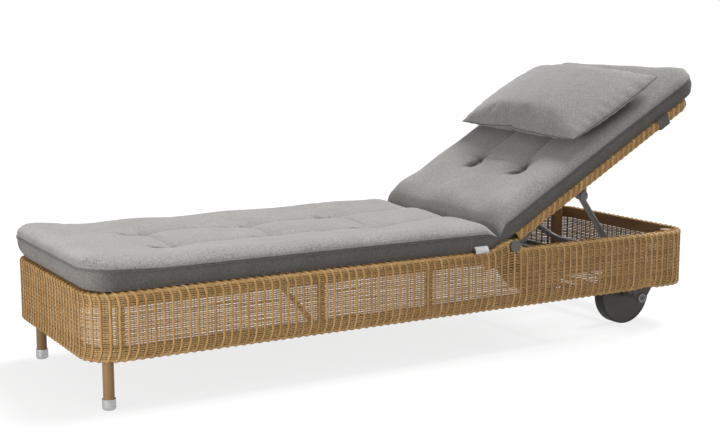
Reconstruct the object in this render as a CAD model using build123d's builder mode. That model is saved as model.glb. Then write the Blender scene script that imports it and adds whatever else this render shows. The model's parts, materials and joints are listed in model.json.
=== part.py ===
"""Reclining sun lounger: woven base on two feet and two wheels, a backrest that
tips up on two hinge pins and a bail that props it, with a tufted cushion and a pillow.

Millimetres. +X runs from the foot end to the head end, +Z is up, Z = 0 is the floor.
Left is the -Y side, seen by someone who lies with the head at +X.
"""

import os
from math import acos, atan2, cos, degrees, radians, sin, sqrt

from build123d import *

# Base outline
base_length = 2060.0
base_width = 690.0
base_corner_radius = 95.0
base_bottom_z = 132.0
base_top_z = 316.0

# Woven skin of the base
weave_thickness = 6.0
weave_lip = 5.0
weave_edge_radius = 10.0
stake_pitch = 24.0
stake_width = 7.2
stake_depth = 2.4
weaver_pitch = 5.7
weaver_height = 4.4
weaver_depth = 3.2

# Base tubes
rail_width = 20.0
rail_height = 34.0
rail_wall = 2.0
post_width = 16.0
post_places = (90.0, 671.0, 1030.0)
brace_width = 14.0
brace_top_places = (545.0, 1482.0)
brace_bottom_places = (636.0, 1712.0)
corner_post_diameter = 40.0
cross_tube_place = 1504.0
cross_tube_diameter = 20.0

# Seat deck
slat_width = 40.0
slat_height = 14.0
slat_count = 6
deck_thickness = 6.0
deck_end_gap = 62.0

# Legs and feet
leg_diameter = 30.0
leg_wall = 2.0
leg_corner_angle = 55.0
leg_top_gap = 4.0
foot_diameter = 36.0
foot_height = 30.0
foot_floor = 8.0
foot_round = 7.0
gusset_thickness = 4.0

# Hinge between base and backrest
hinge_place = 1332.0
hinge_z = 323.0
hinge_pin_diameter = 12.0
hinge_cap_diameter = 35.0
cap_round = 1.5
hinge_lug_radius = 16.0
hinge_plate_thickness = 8.0
hinge_plate_radius = 106.0
hinge_plate_shift = 55.0
hinge_plate_z = 290.0
hump_radius = 21.0
hump_run = 50.0
nut_thickness = 5.0
nut_diameter = 20.0

# Backrest
rest_angle = 29.6
back_length = 825.0
back_inset = 6.5
back_tube = 24.0
back_tube_wall = 2.0
back_wrap = 3.0
back_corner_radius = 62.0
back_start = 26.0
back_offset = 14.5
tongue_length = 126.0
tongue_drop = 30.0
back_cross_place = 64.0
back_panel_thickness = 6.0
panel_notch = 24.0
back_slat_width = 30.0
back_slat_height = 10.0
back_slat_count = 3

# Bail that props the backrest, and the racks under it
bail_place = 310.0
bail_drop = 27.0
bail_reach = 351.0
bail_angle = 39.9
bail_tube = 20.0
bail_bottom_span = 300.0
bail_bend_radius = 48.0
bail_eye_diameter = 27.0
bail_eye_length = 16.0
bail_pin_diameter = 10.0
bail_cap_diameter = 30.0
bail_cap_thickness = 4.0
bail_lug_thickness = 8.0
bail_lug_length = 56.0
bail_lug_radius = 15.0
rack_spacing = 190.0
rack_thickness = 8.0
rack_height = 62.0
rack_first_notch = 1640.0
rack_notch_pitch = 58.0
rack_notch_count = 7
rack_notch_radius = 11.0
rack_gap = 3.0
rack_end = 20.0
rack_tube_diameter = 18.0

# Wheels and axle
wheel_diameter = 200.0
wheel_width = 38.0
wheel_inset = 122.0
wheel_end_gap = 193.0
tyre_depth = 5.0
tyre_round = 1.5
wheel_face_inset = 0.6
wheel_rim = 10.0
wheel_web = 12.0
hub_diameter = 46.0
axle_diameter = 12.0
bush_wall = 2.5
sleeve_wall = 3.0
bracket_thickness = 5.0
bracket_top_width = 96.0
bracket_bottom_radius = 22.0
axle_cap_diameter = 32.0
axle_cap_thickness = 5.0

# Cushions
cushion_inset = 8.0
cushion_overhang = 15.0
cushion_boxing = 55.0
cushion_crown = 34.0
cushion_corner_radius = 72.0
cushion_side_bulge = 5.0
cushion_draw_in = 6.0
seat_cushion_end_gap = 51.0
back_cushion_overhang = 26.0
back_cushion_crown = 27.0
fold_ramp = 46.0
tuft_spacing = 224.0
tuft_reach = 62.0
tuft_depth = 3.0
tuft_shoulder = 12.0
seat_tuft_rows = 3
back_tuft_rows = 2
pillow_length = 390.0
pillow_inset = 20.0
pillow_thickness = 100.0
pillow_edge = 7.0
pillow_end_gap = 282.0
pillow_draw_in = 12.0
pillow_end_rise = 2.0
pillow_end_angle = 90.0
pillow_half_sections = 4
end_rises = ((0.0, 0.1), (9.0, 0.3), (28.0, 0.55), (72.0, 0.85))
fold_corner_radius = 26.0
fold_toe = 14.0
fold_lift = 10.0

# Straps that hold the cushion to the backrest
strap_width = 44.0
strap_thickness = 1.6
strap_end_gap = 143.0
strap_tail = 46.0
strap_gap = 0.2

# Clearances
fit_gap = 0.2
running_gap = 0.05
body_gap = 0.5
cushion_gap = 0.4

# Places that follow from the sizes above
foot_end_x = cushion_overhang - (base_length + cushion_overhang) / 2
base_middle_x = foot_end_x + base_length / 2
hinge_x = foot_end_x + hinge_place
wheel_x = foot_end_x + base_length - wheel_end_gap
wheel_spacing = base_width - 2 * wheel_inset
axle_z = wheel_diameter / 2

rail_inset = weave_thickness + fit_gap
rail_length = base_length - 2 * rail_inset
rail_span = base_width - 2 * rail_inset
rail_corner = base_corner_radius - rail_inset
rail_inner_y = rail_span / 2 - rail_width
rail_middle_y = rail_span / 2 - rail_width / 2
top_rail_z = base_top_z - weave_lip - fit_gap - rail_height
bottom_rail_z = base_bottom_z + weave_lip + fit_gap
bottom_rail_top = bottom_rail_z + rail_height
straight_length = base_length - 2 * base_corner_radius
straight_width = base_width - 2 * base_corner_radius
skin_reach = 2 * base_length
skin_height = base_top_z - base_bottom_z
skin_middle_z = (base_top_z + base_bottom_z) / 2
groove_height = skin_height - 2 * weave_edge_radius
window_height = top_rail_z - bottom_rail_top
side_stakes = round(straight_length / stake_pitch)
end_stakes = round(straight_width / stake_pitch)
bend_stakes = round(base_corner_radius * radians(90) / stake_pitch)
bend_gap = 90 / bend_stakes - degrees(stake_width / base_corner_radius)

slat_top = base_top_z - deck_thickness
slat_half_length = rail_inner_y - fit_gap
deck_foot_x = foot_end_x + rail_inset + rail_width + fit_gap
deck_head_x = hinge_x - deck_end_gap

leg_ring = rail_corner - rail_width - leg_diameter / 2 - fit_gap
leg_x = foot_end_x + base_corner_radius - leg_ring * cos(radians(leg_corner_angle))
leg_y = straight_width / 2 + leg_ring * sin(radians(leg_corner_angle))
leg_top = slat_top - slat_height - leg_top_gap

plate_outer_y = rail_inner_y - fit_gap
plate_inner_y = plate_outer_y - hinge_plate_thickness
skin_outer_y = base_width / 2

sides = (("left", -1), ("right", 1))
back_plane = Plane(
    origin=(hinge_x, 0, hinge_z),
    x_dir=(cos(radians(rest_angle)), 0, sin(radians(rest_angle))),
    z_dir=(-sin(radians(rest_angle)), 0, cos(radians(rest_angle))),
)
back_width = base_width - 2 * back_inset
wrap_size = back_tube + 2 * back_wrap
back_rail_y = (back_width - wrap_size) / 2
back_inner_y = back_rail_y - wrap_size / 2
back_outer_y = back_rail_y + wrap_size / 2
tongue_outer_y = back_inner_y - fit_gap
tongue_inner_y = tongue_outer_y - hinge_plate_thickness
back_top = back_offset + wrap_size / 2
back_bottom = back_offset - wrap_size / 2
back_straight_end = back_length - back_corner_radius
back_cushion_end = back_length + back_cushion_overhang
pillow_place = back_length - pillow_end_gap
strap_place = back_length - strap_end_gap
back_cross_y = back_width / 2 - back_corner_radius
cushion_floor = back_top + strap_gap + strap_thickness + cushion_gap
cushion_width = base_width - 2 * cushion_inset
pillow_width = base_width - 2 * pillow_inset

os.makedirs("parts", exist_ok=True)


def save(piece, label):
    """Name a finished piece and write it to its own file."""
    piece.part.label = label
    export_step(piece.part, f"parts/{label}.step")


def slice_of(loop, center, size):
    """The stretch of a closed loop that lies inside one box."""
    with BuildPart() as stretch:
        add(loop.part)
        with Locations(center):
            Box(*size, mode=Mode.INTERSECT)
    return stretch


def corners_of(loop):
    """The four bends of a closed loop around the base."""
    with BuildPart() as bends:
        add(loop.part)
        with Locations((base_middle_x, 0, base_top_z / 2)):
            Box(straight_length, skin_reach, skin_reach, mode=Mode.SUBTRACT)
            Box(skin_reach, straight_width, skin_reach, mode=Mode.SUBTRACT)
    return bends


def side_of(loop, sign):
    """The straight run of a closed loop along one side of the base."""
    side_center = (base_middle_x, sign * base_width / 2, 0)
    return slice_of(loop, side_center, (straight_length, base_width, skin_reach))


def ends_of(loop):
    """The straight runs of a closed loop across the two ends of the base."""
    return slice_of(loop, (base_middle_x, 0, 0), (skin_reach, straight_width, skin_reach))


def save_loop(loop, label):
    """Cut a loop around the base into its two sides, its ends and its four bends."""
    for side, sign in sides:
        save(side_of(loop, sign), f"{label}_{side}")
    save(ends_of(loop), f"{label}_ends")
    save(corners_of(loop), f"{label}_bends")


def skin_ring(outer_inset, inner_inset):
    """Sketch a ring along the base's outline, between two distances in from it."""
    for inset, mode in ((outer_inset, Mode.ADD), (inner_inset, Mode.SUBTRACT)):
        corner = base_corner_radius - inset
        RectangleRounded(base_length - 2 * inset, base_width - 2 * inset, corner, mode=mode)


def straight_planes(middle, turn, run, count):
    """Planes across a straight run of the skin, one where each groove between two stakes starts."""
    inward = Vector(0, 1, 0).rotate(Axis.Z, turn)
    along = Vector(1, 0, 0).rotate(Axis.Z, turn)
    first = -run / 2 - (run / count - stake_width) / 2
    starts = [middle + along * (first + index * run / count) for index in range(count + 1)]
    return [Plane(start, x_dir=inward, z_dir=along) for start in starts]


def bend_planes(center, first_angle):
    """Planes across a bend of the skin, one where each groove between two stakes starts."""
    planes = []
    for index in range(bend_stakes + 1):
        angle = first_angle + index * 90 / bend_stakes - bend_gap / 2
        outward = Vector(1, 0, 0).rotate(Axis.Z, angle)
        ahead = Vector(0, 1, 0).rotate(Axis.Z, angle)
        planes.append(Plane(center + outward * base_corner_radius, x_dir=-outward, z_dir=ahead))
    return planes


# Rectangular tubes that run round the base under the woven rim and along its lower edge
for label, low_z in (("top_rail", top_rail_z), ("bottom_rail", bottom_rail_z)):
    with BuildPart() as rail_loop:
        with BuildSketch(Plane((base_middle_x, 0, low_z))):
            RectangleRounded(rail_length, rail_span, rail_corner)
            RectangleRounded(
                rail_length - 2 * rail_width,
                rail_span - 2 * rail_width,
                rail_corner - rail_width,
                mode=Mode.SUBTRACT,
            )
        extrude(amount=rail_height)
        with BuildSketch(Plane((base_middle_x, 0, low_z + rail_wall))):
            RectangleRounded(
                rail_length - 2 * rail_wall,
                rail_span - 2 * rail_wall,
                rail_corner - rail_wall,
            )
            RectangleRounded(
                rail_length - 2 * (rail_width - rail_wall),
                rail_span - 2 * (rail_width - rail_wall),
                rail_corner - (rail_width - rail_wall),
                mode=Mode.SUBTRACT,
            )
        extrude(amount=rail_height - 2 * rail_wall, mode=Mode.SUBTRACT)
    save_loop(rail_loop, label)

# Woven skin: a sheet with lips over the top tube and under the lower one, thinned between the tubes
with BuildPart() as skin_loop:
    with BuildSketch(Plane((base_middle_x, 0, base_bottom_z))):
        RectangleRounded(base_length, base_width, base_corner_radius)
    extrude(amount=skin_height)
    rim_edges = skin_loop.edges().group_by(Axis.Z)
    fillet(rim_edges[0] + rim_edges[-1], radius=weave_edge_radius)
    with BuildSketch(Plane((base_middle_x, 0, base_bottom_z))):
        RectangleRounded(
            rail_length - 2 * rail_width,
            rail_span - 2 * rail_width,
            rail_corner - rail_width,
        )
    extrude(amount=skin_height, mode=Mode.SUBTRACT)
    with BuildSketch(Plane((base_middle_x, 0, base_bottom_z + weave_lip))):
        RectangleRounded(
            base_length - 2 * weave_thickness,
            base_width - 2 * weave_thickness,
            base_corner_radius - weave_thickness,
        )
    extrude(amount=skin_height - 2 * weave_lip, mode=Mode.SUBTRACT)
    with BuildSketch(Plane((base_middle_x, 0, bottom_rail_top))):
        skin_ring(stake_depth, weave_thickness)
    extrude(amount=window_height, mode=Mode.SUBTRACT)
    with BuildSketch(Plane((hinge_x, 0, hinge_z), x_dir=(1, 0, 0), z_dir=(0, -1, 0))):
        Circle(hinge_cap_diameter / 2 + fit_gap)
    extrude(amount=base_width, both=True, mode=Mode.SUBTRACT)

# Stakes of the skin, left standing between the grooves that are cut into its outer layer
skin_middle = Vector(base_middle_x, 0, skin_middle_z)
for side, sign in sides:
    side_middle = skin_middle + Vector(0, sign * base_width / 2, 0)
    with BuildPart() as side_weave:
        add(side_of(skin_loop, sign).part)
        with BuildSketch(*straight_planes(side_middle, 90 + sign * 90, straight_length, side_stakes)):
            Rectangle(2 * stake_depth, groove_height)
        extrude(amount=straight_length / side_stakes - stake_width, mode=Mode.SUBTRACT)
    save(side_weave, f"base_weave_{side}")
with BuildPart() as end_weave:
    add(ends_of(skin_loop).part)
    for sign in (-1, 1):
        end_middle = skin_middle + Vector(sign * base_length / 2, 0, 0)
        with BuildSketch(*straight_planes(end_middle, sign * 90, straight_width, end_stakes)):
            Rectangle(2 * stake_depth, groove_height)
        extrude(amount=straight_width / end_stakes - stake_width, mode=Mode.SUBTRACT)
save(end_weave, "base_weave_ends")
with BuildPart() as bend_weave:
    add(corners_of(skin_loop).part)
    for first_angle, x_sign, y_sign in ((0, 1, 1), (90, -1, 1), (180, -1, -1), (270, 1, -1)):
        bend_center = skin_middle + Vector(x_sign * straight_length / 2, y_sign * straight_width / 2, 0)
        with BuildSketch(*bend_planes(bend_center, first_angle)):
            Rectangle(2 * stake_depth, groove_height)
        revolve(axis=Axis(bend_center, (0, 0, 1)), revolution_arc=bend_gap, mode=Mode.SUBTRACT)
save(bend_weave, "base_weave_bends")

# Weavers that run round the base behind the stakes, in the opening between the tubes
weaver_count = int(window_height / weaver_pitch)
weaver_span = (weaver_count - 1) * weaver_pitch + weaver_height
first_weaver_z = bottom_rail_top + (window_height - weaver_span) / 2
with BuildPart() as base_weavers:
    for index in range(weaver_count):
        with BuildSketch(Plane((base_middle_x, 0, first_weaver_z + index * weaver_pitch))):
            skin_ring(stake_depth, stake_depth + weaver_depth)
        extrude(amount=weaver_height)
save(base_weavers, "base_weavers")

# Upright posts between the two side tubes
with BuildPart() as side_posts:
    post_height = top_rail_z - bottom_rail_top
    for place in post_places:
        with Locations(
            (foot_end_x + place, -rail_middle_y, bottom_rail_top),
            (foot_end_x + place, rail_middle_y, bottom_rail_top),
        ):
            Box(post_width, post_width, post_height, align=(Align.CENTER, Align.CENTER, Align.MIN))
save(side_posts, "side_posts")

# Round posts in the two bends at the head end
with BuildPart() as corner_posts:
    post_ring = rail_corner - rail_width - corner_post_diameter / 2 - fit_gap
    post_step = post_ring / sqrt(2)
    post_x = foot_end_x + base_length - base_corner_radius + post_step
    post_y = straight_width / 2 + post_step
    with Locations((post_x, -post_y, bottom_rail_z), (post_x, post_y, bottom_rail_z)):
        Cylinder(
            corner_post_diameter / 2,
            top_rail_z + rail_height - bottom_rail_z,
            align=(Align.CENTER, Align.CENTER, Align.MIN),
        )
save(corner_posts, "corner_posts")

# Slanted braces between the side tubes, in line with the posts
with BuildPart() as side_braces:
    for top_place, bottom_place in zip(brace_top_places, brace_bottom_places):
        with BuildSketch(Plane((foot_end_x, 0, 0), x_dir=(1, 0, 0), z_dir=(0, -1, 0))):
            with BuildLine():
                Polyline(
                    (bottom_place, bottom_rail_top),
                    (bottom_place + brace_width, bottom_rail_top),
                    (top_place + brace_width, top_rail_z),
                    (top_place, top_rail_z),
                    close=True,
                )
            make_face()
        extrude(amount=rail_middle_y + brace_width / 2, both=True)
    with Locations((base_middle_x, 0, base_top_z / 2)):
        Box(base_length, 2 * rail_middle_y - brace_width, skin_reach, mode=Mode.SUBTRACT)
save(side_braces, "side_braces")

# Cross slats under the seat
slat_step = (deck_head_x - deck_foot_x - slat_width) / (slat_count - 1)
with BuildPart() as seat_slats:
    for index in range(slat_count):
        slat_x = deck_foot_x + slat_width / 2 + index * slat_step
        with Locations((slat_x, 0, slat_top - slat_height / 2)):
            Box(slat_width, 2 * slat_half_length, slat_height)
    with BuildSketch(Plane((base_middle_x, 0, 0))):
        Rectangle(skin_reach, skin_reach)
        RectangleRounded(
            rail_length - 2 * rail_width - 2 * fit_gap,
            rail_span - 2 * rail_width - 2 * fit_gap,
            rail_corner - rail_width - fit_gap,
            mode=Mode.SUBTRACT,
        )
    extrude(amount=base_top_z, mode=Mode.SUBTRACT)
save(seat_slats, "seat_slats")

# Cross tube that ties the two sides together behind the hinge
with BuildPart() as hinge_cross_tube:
    tie_z = top_rail_z + rail_height / 2
    with BuildSketch(Plane((foot_end_x + cross_tube_place, 0, tie_z), x_dir=(1, 0, 0), z_dir=(0, -1, 0))):
        Circle(cross_tube_diameter / 2)
        Circle(cross_tube_diameter / 2 - rail_wall, mode=Mode.SUBTRACT)
    extrude(amount=rail_inner_y - fit_gap, both=True)
save(hinge_cross_tube, "hinge_cross_tube")

# Woven deck that carries the seat cushion
with BuildPart() as seat_deck:
    with BuildSketch(Plane((base_middle_x, 0, slat_top))):
        RectangleRounded(
            rail_length - 2 * rail_width - 2 * fit_gap,
            rail_span - 2 * rail_width - 2 * fit_gap,
            rail_corner - rail_width - fit_gap,
        )
    extrude(amount=deck_thickness)
    with Locations((deck_head_x, 0, slat_top)):
        Box(
            skin_reach,
            skin_reach,
            skin_reach,
            align=(Align.MIN, Align.CENTER, Align.CENTER),
            mode=Mode.SUBTRACT,
        )
save(seat_deck, "seat_deck")

# Front legs, their feet and the flat gussets that tie them into the bends
for side, sign in sides:
    with BuildPart(Plane((leg_x, sign * leg_y, 0))) as leg:
        with Locations((0, 0, foot_floor)):
            Cylinder(leg_diameter / 2, leg_top - foot_floor, align=(Align.CENTER, Align.CENTER, Align.MIN))
            Cylinder(
                leg_diameter / 2 - leg_wall,
                leg_top - foot_floor,
                align=(Align.CENTER, Align.CENTER, Align.MIN),
                mode=Mode.SUBTRACT,
            )
    save(leg, f"leg_{side}")

    with BuildPart(Plane((leg_x, sign * leg_y, 0))) as foot:
        Cylinder(foot_diameter / 2, foot_height, align=(Align.CENTER, Align.CENTER, Align.MIN))
        fillet(foot.edges().group_by(Axis.Z)[0], radius=foot_round)
        with Locations((0, 0, foot_floor)):
            Cylinder(
                leg_diameter / 2 + fit_gap,
                foot_height,
                align=(Align.CENTER, Align.CENTER, Align.MIN),
                mode=Mode.SUBTRACT,
            )
    save(foot, f"foot_{side}")

with BuildPart() as leg_gussets:
    bend_x = foot_end_x + base_corner_radius
    gusset_radius = rail_corner - rail_width - fit_gap
    for sign in (-1, 1):
        bend_y = sign * straight_width / 2
        for gusset_z in (bottom_rail_z + rail_height / 2, top_rail_z):
            with BuildSketch(Plane((bend_x, bend_y, gusset_z))):
                Circle(gusset_radius)
                with Locations((gusset_radius, 0)):
                    Rectangle(2 * gusset_radius, 4 * gusset_radius, mode=Mode.SUBTRACT)
                with Locations((0, -sign * gusset_radius)):
                    Rectangle(4 * gusset_radius, 2 * gusset_radius, mode=Mode.SUBTRACT)
                with Locations((leg_x - bend_x, sign * leg_y - bend_y)):
                    Circle(leg_diameter / 2 + fit_gap, mode=Mode.SUBTRACT)
            extrude(amount=gusset_thickness)
save(leg_gussets, "leg_gussets")

# Hinge plates: a half disc inside the tubes with a lug that rises to the hinge pin
lug_bore = hinge_pin_diameter / 2 + running_gap
plate_drop = hinge_z - hinge_plate_z
with BuildPart() as hinge_plates:
    with BuildSketch(Plane((hinge_x, 0, hinge_z), x_dir=(1, 0, 0), z_dir=(0, -1, 0))):
        with Locations((hinge_plate_shift, -plate_drop)):
            Circle(hinge_plate_radius)
        with Locations((hinge_plate_shift, hinge_plate_radius - plate_drop)):
            Rectangle(4 * hinge_plate_radius, 2 * hinge_plate_radius, mode=Mode.SUBTRACT)
        with BuildLine():
            Polyline(
                (-hinge_lug_radius, 0),
                (hinge_lug_radius, 0),
                (hinge_plate_shift, -plate_drop),
                (-2 * hinge_lug_radius, -plate_drop),
                close=True,
            )
        make_face()
        Circle(hinge_lug_radius)
        Circle(lug_bore, mode=Mode.SUBTRACT)
    extrude(amount=plate_outer_y, both=True)
    with Locations((hinge_x, 0, hinge_z)):
        Box(skin_reach, 2 * plate_inner_y, skin_reach, mode=Mode.SUBTRACT)
save(hinge_plates, "hinge_plates")

# Pins: a cap set in the skin, a shaft over the tube and through plate and tongue
pin_length = skin_outer_y - tongue_inner_y + body_gap + nut_thickness
for side, sign in sides:
    cap_plane = Plane((hinge_x, sign * skin_outer_y, hinge_z), x_dir=(1, 0, 0), z_dir=(0, -sign, 0))
    with BuildPart() as hinge_pin:
        with BuildSketch(cap_plane):
            Circle(hinge_cap_diameter / 2)
        extrude(amount=weave_thickness)
        outer_edges = hinge_pin.edges().filter_by(GeomType.CIRCLE).sort_by(Axis.Y, reverse=sign > 0)
        fillet(outer_edges[0], radius=cap_round)
        with BuildSketch(cap_plane):
            Circle(hinge_pin_diameter / 2)
        extrude(amount=pin_length)
    save(hinge_pin, f"hinge_pin_{side}")

# Humps of the woven rim round the pins, running out towards the foot end
rim_drop = hinge_z - base_top_z
run_angle = atan2(-rim_drop, -hump_run)
touch_angle = run_angle - acos(hump_radius / sqrt(hump_run**2 + rim_drop**2))
with BuildPart() as hinge_humps:
    with BuildSketch(Plane((hinge_x, 0, hinge_z), x_dir=(1, 0, 0), z_dir=(0, -1, 0))):
        Circle(hump_radius)
        with BuildLine():
            Polyline(
                (-hump_run, -rim_drop),
                (hump_radius * cos(touch_angle), hump_radius * sin(touch_angle)),
                (0, 0),
                (0, -rim_drop),
                close=True,
            )
        make_face()
        with Locations((0, -rim_drop - hump_run)):
            Rectangle(4 * hump_run, 2 * hump_run, mode=Mode.SUBTRACT)
        Circle(hinge_pin_diameter / 2 + fit_gap, mode=Mode.SUBTRACT)
    extrude(amount=skin_outer_y, both=True)
    with Locations((hinge_x, 0, hinge_z)):
        Box(skin_reach, 2 * rail_inner_y, skin_reach, mode=Mode.SUBTRACT)
    for side, sign in sides:
        cap_plane = Plane((hinge_x, sign * skin_outer_y, hinge_z), x_dir=(1, 0, 0), z_dir=(0, -sign, 0))
        with BuildSketch(cap_plane):
            Circle(hinge_cap_diameter / 2 + fit_gap)
        extrude(amount=weave_thickness + fit_gap, mode=Mode.SUBTRACT)
save(hinge_humps, "hinge_humps")

# Nuts on the inner ends of the two hinge pins
with BuildPart() as hinge_nuts:
    for side, sign in sides:
        nut_y = sign * (tongue_inner_y - body_gap)
        with BuildSketch(Plane((hinge_x, nut_y, hinge_z), x_dir=(1, 0, 0), z_dir=(0, -sign, 0))):
            RegularPolygon(nut_diameter / 2, 6)
            Circle(hinge_pin_diameter / 2 + fit_gap, mode=Mode.SUBTRACT)
        extrude(amount=nut_thickness)
save(hinge_nuts, "hinge_nuts")

# Notched racks under the bail, held by a cross tube and by the lower tube at the head end
bail_pivot = back_plane.from_local_coords((bail_place, 0, -bail_drop))
bail_end_z = bail_pivot.Z - bail_reach * sin(radians(bail_angle))
rack_top = bail_end_z - bail_tube / 2 - rack_gap
rack_low_x = foot_end_x + rack_first_notch - rack_notch_pitch / 2 - rack_end
rack_high_x = foot_end_x + base_length - rail_inset - rail_width - fit_gap
rack_tube_x = rack_low_x + rack_end
rack_tube_z = bottom_rail_z + rail_height / 2
with BuildPart() as racks:
    with BuildSketch(Plane.XZ.offset(-(rack_spacing + rack_thickness) / 2)):
        with Locations(((rack_low_x + rack_high_x) / 2, rack_top - rack_height / 2)):
            Rectangle(rack_high_x - rack_low_x, rack_height)
        for index in range(rack_notch_count):
            with Locations((foot_end_x + rack_first_notch + index * rack_notch_pitch, rack_top)):
                Circle(rack_notch_radius, mode=Mode.SUBTRACT)
        with Locations((rack_tube_x, rack_tube_z)):
            Circle(rack_tube_diameter / 2 + fit_gap, mode=Mode.SUBTRACT)
    extrude(amount=rack_thickness)
    mirror(about=Plane.XZ)
save(racks, "racks")

with BuildPart() as rack_tube:
    with BuildSketch(Plane((rack_tube_x, 0, rack_tube_z), x_dir=(1, 0, 0), z_dir=(0, -1, 0))):
        Circle(rack_tube_diameter / 2)
        Circle(rack_tube_diameter / 2 - rail_wall, mode=Mode.SUBTRACT)
    extrude(amount=rail_inner_y - fit_gap, both=True)
save(rack_tube, "rack_tube")

# Brackets that hang from the lower tubes and hold the axle
with BuildPart() as wheel_brackets:
    with BuildSketch(Plane((wheel_x, plate_outer_y, axle_z), x_dir=(1, 0, 0), z_dir=(0, -1, 0))):
        Circle(bracket_bottom_radius)
        with BuildLine():
            Polyline(
                (-bracket_bottom_radius, 0),
                (bracket_bottom_radius, 0),
                (bracket_top_width / 2, bottom_rail_z - axle_z),
                (bracket_top_width / 2, bottom_rail_top - axle_z),
                (-bracket_top_width / 2, bottom_rail_top - axle_z),
                (-bracket_top_width / 2, bottom_rail_z - axle_z),
                close=True,
            )
        make_face()
        Circle(axle_diameter / 2 + fit_gap, mode=Mode.SUBTRACT)
    extrude(amount=bracket_thickness)
    mirror(about=Plane.XZ)
save(wheel_brackets, "wheel_brackets")

# Axle through both brackets, with a domed cap outside each
with BuildPart() as axle:
    with BuildSketch(Plane((wheel_x, 0, axle_z), x_dir=(1, 0, 0), z_dir=(0, -1, 0))):
        Circle(axle_diameter / 2)
    extrude(amount=plate_outer_y, both=True)
save(axle, "axle")

with BuildPart() as axle_caps:
    for side, sign in sides:
        with BuildSketch(Plane((wheel_x, sign * plate_outer_y, axle_z), x_dir=(1, 0, 0), z_dir=(0, sign, 0))):
            Circle(axle_cap_diameter / 2)
        extrude(amount=axle_cap_thickness)
    fillet(axle_caps.edges().group_by(Axis.Y)[0], radius=axle_cap_thickness / 2)
    fillet(axle_caps.edges().group_by(Axis.Y)[-1], radius=axle_cap_thickness / 2)
save(axle_caps, "axle_caps")

# Sleeves that space each wheel from its bracket, and one between the wheels
wheel_outer_y = (wheel_spacing + wheel_width) / 2
wheel_inner_y = (wheel_spacing - wheel_width) / 2
bracket_inner_y = plate_outer_y - bracket_thickness
with BuildPart() as axle_sleeves:
    for low_y, high_y in (
        (-bracket_inner_y + fit_gap, -wheel_outer_y - body_gap),
        (-wheel_inner_y + body_gap, wheel_inner_y - body_gap),
        (wheel_outer_y + body_gap, bracket_inner_y - fit_gap),
    ):
        with BuildSketch(Plane((wheel_x, low_y, axle_z), x_dir=(1, 0, 0), z_dir=(0, 1, 0))):
            Circle(axle_diameter / 2 + fit_gap + sleeve_wall)
            Circle(axle_diameter / 2 + fit_gap, mode=Mode.SUBTRACT)
        extrude(amount=high_y - low_y)
save(axle_sleeves, "axle_sleeves")

# Wheels: a disc that is flat outside and hollow inside, a thin tyre round it and a bush on the axle
wheel_body_radius = wheel_diameter / 2 - tyre_depth
bush_radius = axle_diameter / 2 + running_gap + bush_wall
for side, sign in sides:
    wheel_plane = Plane((wheel_x, sign * wheel_spacing / 2, axle_z), x_dir=(1, 0, 0), z_dir=(0, -1, 0))
    with BuildPart() as wheel:
        with BuildSketch(wheel_plane):
            Circle(wheel_body_radius)
            Circle(bush_radius, mode=Mode.SUBTRACT)
        extrude(amount=wheel_width / 2 - wheel_face_inset, both=True)
        with BuildSketch(wheel_plane.offset(sign * (wheel_width / 2 - wheel_face_inset))):
            Circle(wheel_body_radius - wheel_rim)
            Circle(hub_diameter / 2, mode=Mode.SUBTRACT)
        hollow = wheel_width - 2 * wheel_face_inset - wheel_web
        extrude(amount=-sign * hollow, mode=Mode.SUBTRACT)
    save(wheel, f"wheel_disc_{side}")

    with BuildPart() as tyre:
        with BuildSketch(wheel_plane):
            Circle(wheel_diameter / 2)
            Circle(wheel_body_radius, mode=Mode.SUBTRACT)
        extrude(amount=wheel_width / 2, both=True)
        tread_edges = tyre.edges().filter_by(GeomType.CIRCLE).sort_by(SortBy.RADIUS)[-2:]
        fillet(tread_edges, radius=tyre_round)
    save(tyre, f"tyre_{side}")

    with BuildPart() as bush:
        with BuildSketch(wheel_plane):
            Circle(bush_radius)
            Circle(axle_diameter / 2 + running_gap, mode=Mode.SUBTRACT)
        extrude(amount=wheel_width / 2, both=True)
    save(bush, f"wheel_bush_{side}")


def box_tube(size, wall, length):
    """A square tube along the local X axis, centred on the other two."""
    Box(length, size, size, align=(Align.MIN, Align.CENTER, Align.CENTER))
    Box(
        length,
        size - 2 * wall,
        size - 2 * wall,
        align=(Align.MIN, Align.CENTER, Align.CENTER),
        mode=Mode.SUBTRACT,
    )


# Backrest frame: square tubes, each in its woven wrap
for label, size, wall in (
    ("back_rail", back_tube, back_tube_wall),
    ("back_wrap", wrap_size, back_wrap - fit_gap),
):
    for side, sign in sides:
        with BuildPart(back_plane) as rail:
            with Locations((back_start, sign * back_rail_y, back_offset)):
                box_tube(size, wall, back_straight_end - back_start)
        save(rail, f"{label}_{side}")
    with BuildPart(back_plane) as top_rail:
        with Locations(Location((back_length - wrap_size / 2, -back_cross_y, back_offset), (0, 0, 90))):
            box_tube(size, wall, 2 * back_cross_y)
    save(top_rail, f"{label}_top")

    with BuildPart() as bends:
        for side, sign in sides:
            bend_center = back_plane.from_local_coords((back_straight_end, sign * back_cross_y, back_offset))
            bend_plane = Plane(bend_center, x_dir=back_plane.x_dir, z_dir=back_plane.z_dir)
            bend_ring = back_corner_radius - wrap_size / 2
            for amount, mode in ((size, Mode.ADD), (size - 2 * wall, Mode.SUBTRACT)):
                with BuildSketch(bend_plane):
                    Circle(bend_ring + amount / 2)
                    Circle(bend_ring - amount / 2, mode=Mode.SUBTRACT)
                    with Locations((-back_corner_radius, 0)):
                        Rectangle(2 * back_corner_radius, 4 * back_corner_radius, mode=Mode.SUBTRACT)
                    with Locations((0, -sign * back_corner_radius)):
                        Rectangle(4 * back_corner_radius, 2 * back_corner_radius, mode=Mode.SUBTRACT)
                extrude(amount=amount / 2, both=True, mode=mode)
    save(bends, f"{label}_bends")

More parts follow.
